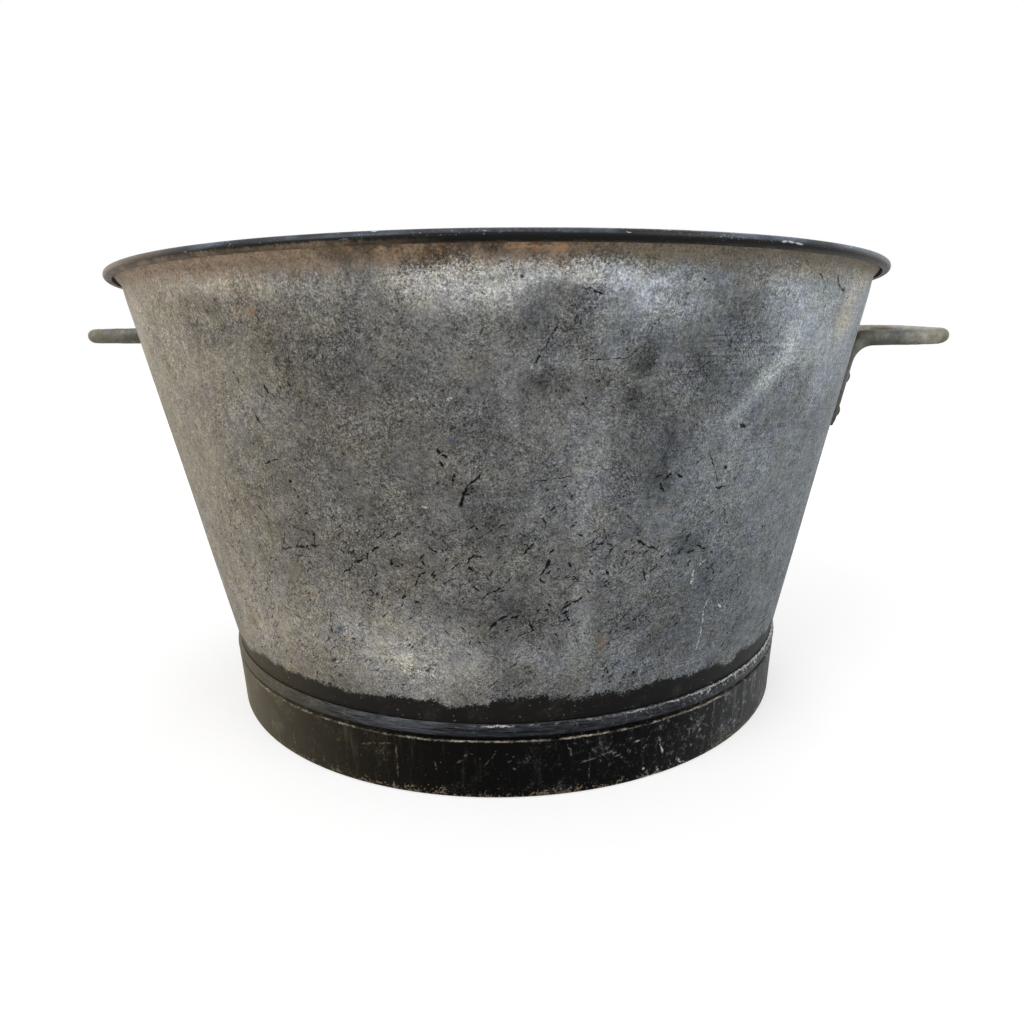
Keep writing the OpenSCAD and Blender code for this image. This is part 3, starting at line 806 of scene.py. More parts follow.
# Thin dark marks of the wall: crackle and scratches
CRACKS = {
    "slash_left": ((263, 384), (269, 394), 3.4),
    "dot_left_a": ((233, 371), (234, 373), 2.2),
    "dot_left_b": ((237.5, 378), (238.5, 384), 2.6),
    "dot_left_c": ((240, 387), (245, 395), 2.0),
    "dash_left": ((252, 409), (263, 428), 1.8),
    "dash_upper": ((264, 464), (271, 460), (278, 460), 2.2),
    "dot_row_a": ((287, 480), (291, 483), 2.8),
    "dot_row_b": ((292, 488), (294, 491), 2.4),
    "dot_row_c": ((296, 495), (298, 498), 2.4),
    "dot_row_d": ((305, 512), (307.5, 514), 2.8),
    "broken_line": ((281, 549), (296, 547), (309, 546), (319, 545), 2.6),
    "broken_line_spur": ((285, 531), (284, 545), 2.0),
    "broken_line_end": ((314, 533), (315, 546), 1.8),
    "loop_left": ((252, 575), (256, 585), (264, 591), (268, 586), (267, 575), 1.8),
    "loop_left_arm": ((241, 560), (250, 568), (258, 563), 1.6),
    "stair": ((342, 573), (351, 568), (352, 563), (367, 559), (368, 552), (380, 547), 2.2),
    "stair_dash": ((349, 552.5), (355, 550), 2.4),
    "bracket": ((391, 559), (392, 568), (407, 564), 1.6),
    "hook_mid": ((424, 553), (420, 560), (425, 567), 2.2),
    "hook_mid_tail": ((426, 572), (417, 577), (414.5, 588), 2.2),
    "tick_low": ((366, 603), (376, 610), 2.0),
    "curl_low": ((331, 611), (330, 625), (333, 633), 1.8),
    "ring_upper": ((437, 448), (442, 455), (447, 458), 2.4),
    "ring_upper_low": ((439, 461), (443, 467), 2.6),
    "tick_upper": ((455, 474), (453, 484), 2.8),
    "long_crack": ((482, 473), (467, 487), (464, 495), (461, 508), 2.8),
    "long_crack_arm": ((464, 495), (471, 496), 2.0),
    "comma": ((476, 525), (478, 532), 2.2),
    "tick_a": ((543, 518), (545, 524), 2.2),
    "tick_b": ((550, 511), (556, 505), 2.2),
    "tick_c": ((562, 489), (568, 485), 2.2),
    "tick_d": ((576, 521), (570, 529), 2.0),
    "tick_e": ((578, 533), (584, 537), 2.2),
    "brown_tick": ((535, 542), (523, 554), 2.4),
    "fork_a": ((555, 548), (549, 554), 3.0),
    "fork_b": ((551, 559), (545, 569), (541, 576), 3.0),
    "fork_c": ((540, 578), (545, 583), 2.6),
    "fork_d": ((568, 562), (571, 568), 3.4),
    "fork_e": ((560, 580), (572, 575), (582, 583), 1.8),
    "arrow": ((597, 544), (606, 543), (614, 546), (604, 560), 2.2),
    "arrow_stem": ((607, 536), (604, 543), 2.4),
    "arrow_blot": ((606, 569), (609, 574), 3.6),
    "arch_a": ((466, 563), (475, 555), (484, 557), 2.4),
    "arch_a_low": ((468, 567), (473, 571), 2.4),
    "sweep": ((481, 599), (491, 592), (505, 586), 2.2),
    "stroke_right": ((561, 610), (572, 603), (583, 597), 2.6),
    "stroke_right_low": ((564, 612), (570, 621), 2.0),
    "bridge_a": ((489, 630), (497, 621), (506, 616), 3.0),
    "bridge_b": ((510, 618), (519, 616), 3.2),
    "bridge_c": ((528, 618), (533, 630), 2.4),
    "low_tick_a": ((468, 646), (473, 638), 2.4),
    "low_tick_b": ((518, 637), (527, 633), 2.2),
    "knot_a": ((672, 472), (665, 480), (668, 476), 3.2),
    "knot_b": ((659, 483), (664, 492), 3.0),
    "knot_c": ((655, 478), (662, 474), 2.2),
    "knot_d": ((676, 473), (683, 478), 2.0),
    "grain_line": ((637, 539), (646, 546), (660, 550), 2.4),
    "slash_right": ((658, 563), (650, 572), 2.6),
    "slash_right_dots": ((643, 569), (646, 582), 2.2),
    "tick_right_a": ((691, 533), (685, 542), 2.6),
    "tick_right_b": ((696, 545), (706, 549), 2.8),
    "tick_right_c": ((685, 554), (694, 550), 3.4),
    "tick_right_d": ((690, 558), (688, 567), 3.0),
    "hair_a": ((710, 455), (715, 469), (718, 484), 1.3),
    "hair_b": ((703, 457), (695, 465), 1.6),
    "dash_right": ((714, 488), (725, 486), 2.8),
    "ring_right": ((724, 466), (727, 469), 2.4),
    "tick_right_e": ((715, 509), (710, 515), 2.0),
    "scratch_long": ((560, 320), (551, 336), (542, 351), (534, 365), 1.5),
    "scratch_flat_a": ((582, 288), (593, 289), (604, 294), 1.5),
    "scratch_flat_b": ((580, 360), (604, 359), (629, 358), 1.3),
    "scratch_flat_c": ((524, 483), (550, 479), (574, 476), 1.1),
    "dot_top": ((705, 278.6), (706.5, 280), 2.6),
    "dot_top_left": ((501, 260), (503, 262), 2.6),
    "dot_top_mid": ((520, 275), (523, 277), 3.0),
    "dot_top_low": ((482, 290), (484, 293), 2.4),
}
# Deeper marks of the wall, not broken up
SCORES = {
    "squiggle": ((838.5, 275), (838.5, 283), (840.5, 288), (845.5, 291), 4.6),
    "squiggle_left": ((819.5, 272), (824, 279), 3.0),
    "squiggle_right": ((852.5, 277), (853, 280), 2.6),
    "squiggle_low": ((846, 299), (849, 297), 2.4),
    "dash_edge": ((739, 425), (747, 426), 4.4),
    "long_crack_low": ((466, 488), (463, 497), (460, 507), 2.4),
    "arch_high": ((467, 562), (474, 555), 2.6),
    "fork_deep": ((550, 558), (546, 566), 3.2),
}
# Beige stains of the wall
BEIGE = {
    "stain_right_edge": (847, 313, 11, 26, -12, 0.9),
    "stain_under_rim_right": (862, 276, 16, 22, 0, 0.8),
    "stain_under_rim_mid": (815, 266, 64, 14, 6, 0.7),
    "stain_low": (722, 655, 10, 7, 0, 0.6),
}
# Pale drips and chips of the wall
DRIPS = {
    "white_drip": ((693.5, 569), (692.5, 577), (691, 585), 4.2),
    "blue_drip": ((708, 598), (703, 610), (702, 624), (699.5, 638), (696, 650), 2.4),
    "pale_tick": ((700, 565), (706, 558), 3.0),
    "pale_spot": ((718, 604), (721, 607), 3.4),
    "pale_dot": ((539, 449), (540, 451), 2.0),
    "pale_fleck": ((452, 396), (447, 402), 4.0),
    "pale_fleck_low": ((426, 508), (421, 506), 4.0),
}
# Rust stains of the wall: pixel, half width, half height, turn, gain
RUST = {
    "rust_spot": (250, 312, 7, 6, 0, 1.0),
    "rust_spot_left": (234, 313, 6, 6, 0, 0.5),
    "rust_spot_top": (237, 307, 4, 2.5, 10, 0.9),
    "rust_run": (499, 279, 2.2, 5, -14, 1.0),
    "rust_dot_right": (676, 308, 3, 3, 0, 0.9),
    "rust_dot_mid": (601, 319, 3, 2.5, 0, 0.7),
    "rust_haze_right": (662, 510, 9, 5, 0, 0.45),
    "rust_haze_low": (602, 642, 7, 9, 0, 0.5),
    "rust_low_left": (254, 622, 6, 5, 0, 0.6),
    "rust_low_left_b": (314, 594, 8, 6, 0, 0.35),
}
# Flecks of blue paint on the wall
BLUE_FLECKS = {
    "fleck_low": (340, 629, 6, 4, -30, 0.8),
    "fleck_high": (449.5, 440.5, 3, 2.5, 30, 0.7),
}
# Bare rust where the grime under the roll has flaked off
FLAKED = {
    "flake": (562, 247.5, 9, 6, 0, 1.3),
    "flake_line": (534, 246.5, 30, 2.2, 0, 0.9),
}

# The side that the camera sees fades out between these y; stretches of it paler as painted sheen and light
# from the sides: from x, to x, gain
SEEN_Y = (60.0, -90.0)
SIDE_SHEEN_PAINTED = ((-90.0, -190.0, 0.14), (-200.0, -262.0, 0.02), (120.0, 220.0, 0.07), (235.0, 290.0, 0.08))
# Zinc and what lies on it: colours in display levels
RUST_BROWN = rgb(116, 88, 58)
RUST_PALE = rgb(184, 150, 112)
BLUE_PAINT = rgb(62, 92, 120)
GRIME_PALE = rgb(170, 146, 118)
GRIME_DARK = rgb(106, 88, 68)
GRIME_ORANGE = rgb(168, 122, 80)
GRIME_RIGHT = rgb(130, 123, 106)
GRIME_AND_WARM_LIGHT_LEFT = rgb(190, 164, 140)
FLAKED_RUST = rgb(204, 158, 116)
PAINT_BLACK = rgb(8, 8, 8)
PAINT_SOOTY = rgb(30, 27, 23)
PAINT_BROWN_AND_WARM_LIGHT_LEFT = rgb(68, 53, 22)
PAINT_RIGHT = rgb(8, 9, 9)
PAINT_DUST = rgb(92, 88, 80)
SEAM_RUST_DARK = rgb(86, 58, 36)
SEAM_RUST_PALE = rgb(140, 98, 62)
# Rolled rim: colours in display levels
RIM_BLACK = rgb(6, 5, 4)
RIM_SOOTY = rgb(18, 15, 12)
RIM_SLATE = rgb(44, 47, 52)
RIM_BLUE = rgb(110, 122, 140)
RIM_MIDDLE = rgb(66, 66, 66)
RIM_BROWN = rgb(108, 85, 54)
RIM_BEIGE = rgb(144, 130, 98)
RIM_DULL_DARK = rgb(66, 65, 62)
RIM_DULL_PALE = rgb(112, 114, 112)
SPECK_GREY = rgb(150, 154, 156)
RIM_CHIP = rgb(206, 208, 206)
CRUST_PALE = rgb(130, 112, 90)
CRUST_DARK = rgb(84, 70, 55)
# Foot ring: colours in display levels
BARE_PALE = rgb(150, 140, 122)
BARE_RUSTY = rgb(104, 84, 62)
SCRATCH_BROWN = rgb(140, 122, 98)
SCRATCH_GREY = rgb(138, 142, 140)
SKIRT_CHIP = rgb(196, 198, 196)
FOLD_DARK = rgb(120, 110, 94)
FOLD_PALE = rgb(206, 196, 178)
SCUFF_BLUE_AND_SHEEN = rgb(102, 107, 116)
SCUFF_BROWN = rgb(96, 93, 86)
RIDGE_CREAM = rgb(214, 206, 184)
RIDGE_BLUE = rgb(176, 190, 204)
# Iron of the handles, rivets and wire: colours in display levels
IRON_BLUISH = rgb(112, 117, 116)
IRON_RUST = rgb(72, 52, 34)
IRON_CHIP = rgb(168, 164, 150)
HANDLE_PALE = rgb(162, 160, 148)
HANDLE_DARK = rgb(120, 113, 96)
RIVET_PALE = rgb(120, 118, 110)
RIVET_DARK = rgb(84, 78, 66)
WIRE_PALE = rgb(110, 106, 100)
WIRE_DARK = rgb(74, 66, 56)
# Display levels from 0 to 1: plain zinc outside and inside, and the most that the patches add
ZINC_LEVEL, INSIDE_LEVEL, PATCH_MOST = 0.437, 0.49, 0.28
# Tints; the zinc ones on the outside wall also paint warm light on the left and cool light on the right, and
# the skirt's brown one partly paints warm light
ZINC_WARM_AND_WARM_LIGHT, ZINC_PLAIN, ZINC_COOL_AND_COOL_LIGHT = (1.13, 1.0, 0.79), (1.0, 1.0, 0.97), (0.90, 1.0, 1.08)
HUE_WARM, HUE_COOL, BEIGE_TINT = (1.02, 1.005, 0.94), (0.99, 0.99, 1.03), (1.10, 1.0, 0.82)
SKIRT_COOL, SKIRT_DUST_AND_WARM_LIGHT = (0.97, 1.0, 1.0), (1.24, 1.0, 0.58)
PLAIN, SHADED = (1.0, 1.0, 1.0), (0.60, 0.63, 0.66)
# Heights between which a mark fades in: on the outside, inside the tub (with a radius), and under the roll
CRACKLE_Z, TICK_Z, PAINT_Z = (215.0, 160.0), (235.0, 185.0), (75.6, 73.2)
GRIME_Z, ORANGE_Z = (344.5, 350.5), (350.0, 355.0)
WET_Z, CORNER_Z, CORNER_R, SPOT_Z = (200.0, 120.0), (74.0, 50.0), (226.0, 252.0), (130.0, 52.0)
UNDER_Z, DIRTY_Z, CRUST_Z = (358.4, 357.6), (358.9, 357.0), (356.7, 356.2)
# Tide lines inside the tub: height, gain
TIDES = ((118.0, 0.07), (176.0, 0.05), (236.0, 0.06))
# Middle of the bead's bright glint, a painted highlight
PAINTED_GLINT_X = 21.0


def zinc_texture(p, pos, sheet, brushed):
    """Feathers of the spangle, mottling, pits and brush marks: change of display level, height, grain."""
    flow = p.wobbled(sheet, pos, 9.0, 9.0, 2.0)
    cells = p.add("ShaderNodeTexVoronoi", {"Vector": flow, "Scale": 1 / 11.0}, voronoi_dimensions="2D")
    pick = p.split(cells.outputs["Color"])
    feathered = p.slanted(flow, p.times(pick[0], 6.28))
    feather = p.noise(p.stretched(feathered, 0.5), 1.5, 1.0, 0.5)
    grain = p.noise(pos, 1.4, 3.0, 0.85)
    brush = p.noise(p.stretched(sheet, 0.035), 1.6, 2.0, 0.5)
    total = 0.0
    for fine, gain in ((feather, 0.32), (grain, 0.66), (p.noise(pos, 0.85, 1.0, 0.5), 0.44)):
        total = p.swing(fine, gain, total)
    total = p.times(total, p.swing(p.noise(pos, 26.0, 3.0, 0.6), 2.4, 1.0))
    for gain, *lumps in ((0.26, 5.5, 3.0, 0.7), (0.23, 22.0, 4.0, 0.66), (0.07, 105.0, 2.0, 0.5)):
        total = p.swing(p.noise(pos, *lumps), gain, total)
    total = p.added(p.swing(brush, 0.24), brushed, total)
    total = p.swing(pick[1], 0.03, total)
    pits = p.spots(0.68, 0.75, pos, 3.2, 1.0, 0.5)
    total = p.added(pits, -0.13, total)
    flecks = p.spots(0.66, 0.76, p.moved(pos, 91.0, 17.0, 5.0), 4.2, 2.0, 0.6)
    total = p.added(flecks, 0.13, total)
    height = p.math("ADD", p.swing(feather, 0.5), p.swing(brush, 0.5))
    return total, height, grain


def zinc_outside():
    """Weathered zinc with its stains and marks, the black paint that runs up from the foot, and painted
    light: paler sides, warmer on the left and cooler on the right.
    """
    p = Paint("zinc_outside", shine=0.2)
    pos = p.place()
    x, y, z = p.split(pos)
    sheet = p.join(p.round_tub(x, y), z)
    patchy = p.wobbled(sheet, pos, 34.0, 40.0, 3.0)
    wobbly = p.wobbled(sheet, pos, 4.0, 4.0, 2.0, 0.6)

    brushed = p.times(p.band(x, 20.0, 140.0), p.spots(0.40, 0.58, pos, 48.0, 2.0))
    texture, height, grain = zinc_texture(p, pos, sheet, brushed)
    streaky = p.noise(p.stretched(sheet, 0.18), 2.4, 3.0, 0.65)
    scuff = p.swing(p.blend(brushed, p.noise(pos, 4.5, 4.0, 0.75), streaky), 2.0, 1.0)
    scuff = p.swing(grain, 1.8, scuff)
    patches = p.math("MINIMUM", seen_blots(p, patchy, PATCHES, 0.0), PATCH_MOST)
    patches = seen_blots(p, wobbly, STREAKS, patches)
    lit = p.added(patches, scuff, p.math("ADD", texture, ZINC_LEVEL))
    shown = p.band(y, *SEEN_Y)
    # painted light: the wall paler towards both sides, a painted sheen
    for start, end, gain in SIDE_SHEEN_PAINTED:
        lit = p.added(p.times(p.band(x, start, end), gain), shown, lit)
    worn_back = p.times(p.swing(p.noise(pos, 85.0, 4.0, 0.6), 0.42), p.band(y, 20.0, 120.0))
    lit = p.added(worn_back, scuff, lit)
    # crackle: broken edges of small cells, thickest low on the wall
    cells = p.add("ShaderNodeTexVoronoi", {"Vector": p.scaled(wobbly, 1 / 10.0)}, feature="DISTANCE_TO_EDGE",
                  voronoi_dimensions="2D")
    edge = p.band(cells.outputs["Distance"], 0.06, 0.02)
    broken = p.spots(0.55, 0.61, pos, 6.0, 2.0, 0.6)
    low = p.times(p.band(z, *CRACKLE_Z), p.spots(0.42, 0.56, pos, 45.0, 1.0))
    crackle = p.times(edge, broken, low)
    for slant, limit in ((-0.65, 0.62), (0.75, 0.65)):
        dashes = p.noise(p.stretched(p.slanted(wobbly, slant), 0.24), 1.7, 1.0, 0.5)
        ticks = p.times(p.band(dashes, limit, limit + 0.05), p.band(z, *TICK_Z))
        thick = p.spots(0.48, 0.58, p.moved(pos, slant * 90.0, 11.0, 6.0), 24.0, 3.0, 0.6)
        crackle = p.most(crackle, p.times(ticks, thick))
    lines = seen_strokes(p, wobbly, CRACKS, 2.8)
    gaps = p.spots(0.31, 0.42, pos, 2.6, 1.0)
    faint = p.added(p.band(x, -190.0, -60.0), 0.45, 0.55)
    lines = p.times(lines, gaps, faint)
    lines = p.most(lines, p.times(crackle, 0.85))
    scores = seen_strokes(p, wobbly, SCORES, 2.2)
    lines = p.most(lines, scores)
    lit = p.added(lines, -0.40, lit)
    drips = p.times(seen_strokes(p, wobbly, DRIPS, 2.8), p.spots(0.34, 0.5, pos, 2.2, 1.0))
    lit = p.added(drips, 0.34, lit)

    # painted light: the zinc tinted warm towards the left and cool towards the right, as the light falls
    # there
    sideways = p.swing(p.noise(pos, 60.0, 3.0), 190.0, x)
    sideways = p.swing(grain, -170.0, sideways)
    sides = p.added(shown, 0.7, 0.3)
    painted_warm_light = p.times(p.band(sideways, 40.0, -210.0), sides)
    painted_cool_light = p.times(p.band(sideways, 0.0, 200.0), sides)
    tint = p.mix(painted_cool_light, p.mix(painted_warm_light, ZINC_PLAIN, ZINC_WARM_AND_WARM_LIGHT), ZINC_COOL_AND_COOL_LIGHT)
    hue = p.spots(0.38, 0.62, p.moved(pos, 40.0, 8.0, 77.0), 20.0, 4.0, 0.65)
    tint = p.vec("MULTIPLY", tint, p.mix(hue, HUE_WARM, HUE_COOL))
    colour = p.tone(lit, tint)

    rust = clear_blots(p, wobbly, RUST, 1.6)
    rusty = p.mix(p.noise(pos, 3.0), RUST_BROWN, RUST_PALE)
    colour = p.mix(p.times(rust, 0.55), colour, rusty)
    beige = clear_blots(p, patchy, BEIGE, p.swing(grain, 2.0, 0.9))
    colour = p.mix(beige, colour, p.tone(p.math("ADD", lit, 0.02), BEIGE_TINT))

    flecks = clear_blots(p, wobbly, BLUE_FLECKS, p.swing(grain, 2.0, 1.2))
    colour = p.mix(flecks, colour, BLUE_PAINT)

    # grime in the flare under the roll
    grime_edge = p.swing(p.noise(pos, 20.0, 3.0, 0.6), 16.0, z)
    grime_edge = p.swing(grain, -52.0, grime_edge)
    grime = p.band(grime_edge, *GRIME_Z)
    grimy = p.mix(p.spots(0.40, 0.60, pos, 14.0, 4.0), GRIME_PALE, GRIME_DARK)
    orange = p.times(p.spots(0.56, 0.68, p.moved(pos, 50.0, 9.0, 3.0), 6.0, 3.0), p.band(z, *ORANGE_Z))
    grimy = p.mix(orange, grimy, GRIME_ORANGE)
    grimy = p.mix(p.times(p.band(x, 30.0, 150.0), 0.8), grimy, GRIME_RIGHT)
    # paler grime to the left: partly its own colour, partly painted warm light from the left
    grimy = p.mix(p.times(p.band(x, -20.0, -110.0), 0.75), grimy, GRIME_AND_WARM_LIGHT_LEFT)
    speck = p.swing(p.noise(pos, 4.0, 4.0, 0.75), 1.6, p.swing(grain, 3.6, 1.05))
    grimy = p.shaded(grimy, speck)
    colour = p.mix(p.times(grime, 0.85), colour, grimy)
    flaked = clear_blots(p, wobbly, FLAKED, 1.5)
    colour = p.mix(p.times(flaked, 0.8), colour, FLAKED_RUST)

    # black paint up to a ragged edge above the bead
    ragged = p.swing(p.noise(pos, 40.0, 2.0, 0.6), 26.0, z)
    ragged = p.swing(p.noise(pos, 6.0, 4.0, 0.7), 11.0, ragged)
    ragged = p.swing(grain, 14.0, ragged)
    paint = p.band(ragged, *PAINT_Z)
    specks = p.spots(0.68, 0.72, pos, 2.4, 2.0, 0.6)
    paint = p.times(paint, p.without(p.times(specks, 0.7)))
    black = p.mix(p.noise(pos, 30.0, 3.0), PAINT_BLACK, PAINT_SOOTY)
    # browner paint to the left: partly brown paint, partly painted warm light from the left
    black = p.mix(p.times(p.band(x, -70.0, -240.0), shown), black, PAINT_BROWN_AND_WARM_LIGHT_LEFT)
    black = p.mix(p.band(x, 30.0, 110.0), black, PAINT_RIGHT)
    dust = p.times(p.spots(0.50, 0.74, pos, 13.0, 5.0, 0.7), p.band(grain, 0.3, 0.75))
    black = p.mix(p.times(dust, 0.5), black, PAINT_DUST)
    colour = p.mix(paint, colour, black)

    rough = p.swing(p.noise(pos, 14.0, 3.0), 0.25, 0.56)
    rough = p.blend(paint, rough, 0.42)
    metal = p.times(p.without(p.most(paint, grime)), 0.25)
    return p.finish(colour, rough, metal, height, depth=0.0004, strength=0.5)


def zinc_inside(name, flat):
    """Zinc inside the tub: paler, with tide lines, water stains and rust at the bottom seam."""
    p = Paint(name, shine=0.25)
    pos = p.place()
    x, y, z = p.split(pos)
    radius = p.radius(x, y)
    sheet = p.join(x, y) if flat else p.join(p.round_tub(x, y), z)
    texture, height, _ = zinc_texture(p, pos, sheet, 0.3)
    lit = p.math("ADD", texture, INSIDE_LEVEL)
    tide = p.swing(p.noise(pos, 55.0, 2.0), 40.0, z)
    for at, gain in TIDES:
        line = p.band(p.math("ABSOLUTE", p.math("SUBTRACT", tide, at)), 5.0, 0.5)
        lit = p.added(line, gain, lit)
    wet = p.band(tide, *WET_Z)
    lit = p.added(wet, -0.06, lit)
    runs = p.noise(p.stretched(sheet, 1.0, 0.3 if flat else 0.05), 9.0, 3.0)
    lit = p.swing(runs, 0.16, lit)
    bloom = p.spots(0.55, 0.68, pos, 42.0, 5.0, 0.65)
    lit = p.added(bloom, 0.09, lit)
    tint = p.mix(p.noise(pos, 80.0, 2.0), ZINC_WARM_AND_WARM_LIGHT, ZINC_COOL_AND_COOL_LIGHT)
    colour = p.tone(lit, tint)
    corner = p.times(p.band(z, *CORNER_Z), p.band(radius, *CORNER_R))
    rust = p.times(corner, p.spots(0.42, 0.60, pos, 12.0, 5.0, 0.65))
    spots = p.times(p.spots(0.62, 0.70, p.moved(pos, 7.0, 31.0, 2.0), 22.0, 5.0, 0.7), p.band(z, *SPOT_Z))
    rust = p.most(rust, spots)
    rusty = p.mix(p.noise(pos, 5.0, 3.0), SEAM_RUST_DARK, SEAM_RUST_PALE)
    colour = p.mix(p.times(rust, 0.75), colour, rusty)
    rough = p.swing(p.noise(pos, 18.0, 3.0), 0.25, 0.55)
    metal = p.times(p.without(rust), 0.3)
    return p.finish(colour, rough, metal, height, depth=0.0004, strength=0.5)


# Chips of the rolled rim
ROLL_CHIPS = {
    "chip_right": ((782, 241.6), (788, 241.2), (795, 242.6), (804, 244.6), 2.2),
}


def rim_paint():
    """Black paint on the rolled rim, grey on top where it is worn and where a bluish highlight is painted,
    and brown towards the left, partly painted warm light.
    """
    p = Paint("rim_paint", shine=0.25)
    pos = p.place()
    x, y, z = p.split(pos)
    u, radius = p.round_tub(x, y), p.radius(x, y)
    along = p.join(u, p.times(z, 3.0), p.times(radius, 3.0))
    streak = p.noise(p.stretched(along, 0.12), 5.0, 3.0, 0.6)
    grain = p.noise(pos, 1.6, 2.0, 0.6)
    cloud = p.noise(pos, 45.0, 3.0)
    # the top of the roll: worn paint and a painted bluish highlight of the light from above
    top = p.swing(streak, 3.0, p.swing(cloud, 3.0, z))
    worn = p.band(top, TUB_H - 3.8, TUB_H - 2.0)
    worn = p.times(worn, p.swing(grain, 1.8, 0.7), clamp=True)
    chips = p.times(p.spots(0.66, 0.70, along, 7.0, 3.0, 0.6), p.band(z, TUB_H - 5.0, TUB_H - 2.0))
    black = p.mix(cloud, RIM_BLACK, RIM_SOOTY)
    wear_and_sky_highlight = p.mix(p.spots(0.40, 0.64, pos, 55.0, 3.0), RIM_SLATE, RIM_BLUE)
    middle = p.band(p.math("ABSOLUTE", p.swing(cloud, 60.0, p.math("SUBTRACT", x, 20.0))), 70.0, 30.0)
    wear_and_sky_highlight = p.mix(p.times(middle, 0.7), wear_and_sky_highlight, RIM_MIDDLE)
    colour = p.mix(worn, black, wear_and_sky_highlight)
    inner = p.band(p.math("SUBTRACT", ROLL_C[0] - 1.2, p.swing(streak, 2.0, radius)), 0.0, 1.0)
    colour = p.mix(inner, colour, p.tone(p.swing(grain, 0.2, 0.42), ZINC_PLAIN))
    # towards the left: brown, beige on top, partly painted warm light from the left
    left = p.times(p.band(x, -120.0, -250.0), p.swing(streak, 1.6, 0.8), clamp=True)
    left = p.times(left, p.added(p.band(y, *SEEN_Y), 0.8, 0.2))
    colour = p.mix(left, colour, p.mix(worn, RIM_BROWN, RIM_BEIGE))
    right = p.times(p.band(x, 225.0, 290.0), p.swing(streak, 1.2, 0.75), clamp=True)
    dull = p.mix(worn, RIM_DULL_DARK, RIM_DULL_PALE)
    dull_speck = p.swing(p.noise(pos, 5.0, 4.0, 0.7), 1.6, p.swing(grain, 1.4, 1.0))
    colour = p.mix(right, colour, p.shaded(dull, dull_speck))
    specks = p.times(p.spots(0.62, 0.69, pos, 1.4, 2.0, 0.6), p.band(z, TUB_H - 6.0, TUB_H - 3.0))
    specks = p.times(specks, p.spots(0.42, 0.58, pos, 30.0, 2.0))
    colour = p.mix(p.times(specks, 0.6), colour, SPECK_GREY)
    face = p.join(u, z)
    knocked = seen_strokes(p, face, ROLL_CHIPS, 2.0, ROLL_CONE)
    chips = p.most(chips, p.times(knocked, 0.8))
    colour = p.mix(chips, colour, RIM_CHIP)
    tucked = p.swing(p.noise(pos, 4.0, 4.0, 0.75), 2.6, radius)
    under = p.times(p.band(tucked, ROLL_C[0] - 0.2, ROLL_C[0] - 1.0), p.band(z, *UNDER_Z))
    dirty = p.band(p.swing(streak, 3.0, p.swing(p.noise(pos, 3.0, 4.0, 0.75), 2.6, z)), *DIRTY_Z)
    leftward = p.band(p.swing(cloud, 90.0, x), 0.0, -60.0)
    dirty = p.times(dirty, leftward)
    crust = p.band(p.swing(p.noise(pos, 6.0, 4.0, 0.75), 2.6, z), *CRUST_Z)
    under = p.times(p.most(under, crust), p.added(leftward, 0.8, 0.2))
    under = p.most(under, dirty)
    grime = p.mix(p.spots(0.36, 0.64, pos, 12.0, 3.0, 0.6), CRUST_PALE, CRUST_DARK)
    speck = p.swing(p.noise(pos, 1.4, 2.0, 0.7), 2.0, 1.0)
    colour = p.mix(under, colour, p.shaded(grime, speck))
    rough = p.swing(grain, 0.3, p.blend(worn, 0.34, 0.5))
    height = p.math("ADD", p.swing(grain, 0.5), p.swing(streak, 0.8))
    return p.finish(colour, rough, p.times(worn, 0.3), height, depth=0.0005, strength=0.5)


# Scratches and chips of the foot ring's skirt
SKIRT_SCRATCHES = {
    "thick_scratch": ((469, 751), (463, 758), (457, 763), 4.0),
    "faint_scratch": ((496, 753), (490, 760), (484, 766), 1.6),
    "pale_mark": ((435, 762), (436, 770), 3.0),
    "brown_run": ((396, 744), (397, 760), (398, 777), 3.0),
    "flat_scuff": ((360, 744), (376, 743), (393, 743), 2.4),
    "grey_run": ((293, 731), (295, 746), 4.0),
    "blue_scratch": ((689.5, 729), (688.5, 737), 3.0),
    "beige_scratch": ((692, 719), (702, 723), (711, 727), 2.0),
    "brown_run_right": ((590, 761), (589, 779), 2.4),
    "long_scuff": ((580, 763), (597, 757), (614, 750), 3.4),
    "smear": ((568, 744), (570, 750), (572, 756), 3.6),
    "dash_a": ((528, 756), (533, 757), 2.4),
    "dash_b": ((513, 757), (517, 756), 2.2),
    "dash_c": ((513, 769), (516, 769), 3.4),
    "blue_tick_a": ((711, 742), (713, 749), 3.4),
    "blue_tick_b": ((740, 720), (745, 716), 2.6),
    "blue_tick_c": ((754, 706), (757, 712), 2.6),
    "hair_right_a": ((646, 741), (650, 735), 2.0),
    "hair_right_b": ((680, 744), (684, 735), 2.0),
    "hair_right_c": ((700, 735), (706, 742), 2.0),
    "hair_right_d": ((722, 729), (726, 722), 2.2),
}
# Bright chips of the skirt
SKIRT_CHIPS = {
    "white_scratch": ((660, 738), (660.5, 746), (663, 753), 3.4),
    "chip_low_a": ((643, 777), (650, 776), (658, 774), 5.0),
    "chip_low_b": ((642, 770), (644, 767), 4.0),
    "chip_low_c": ((656, 766), (658, 771), 4.0),
    "chip_low_d": ((675, 757), (681, 762), (686, 762), 4.6),
    "chip_high": ((634, 742), (640, 740), 2.6),
}


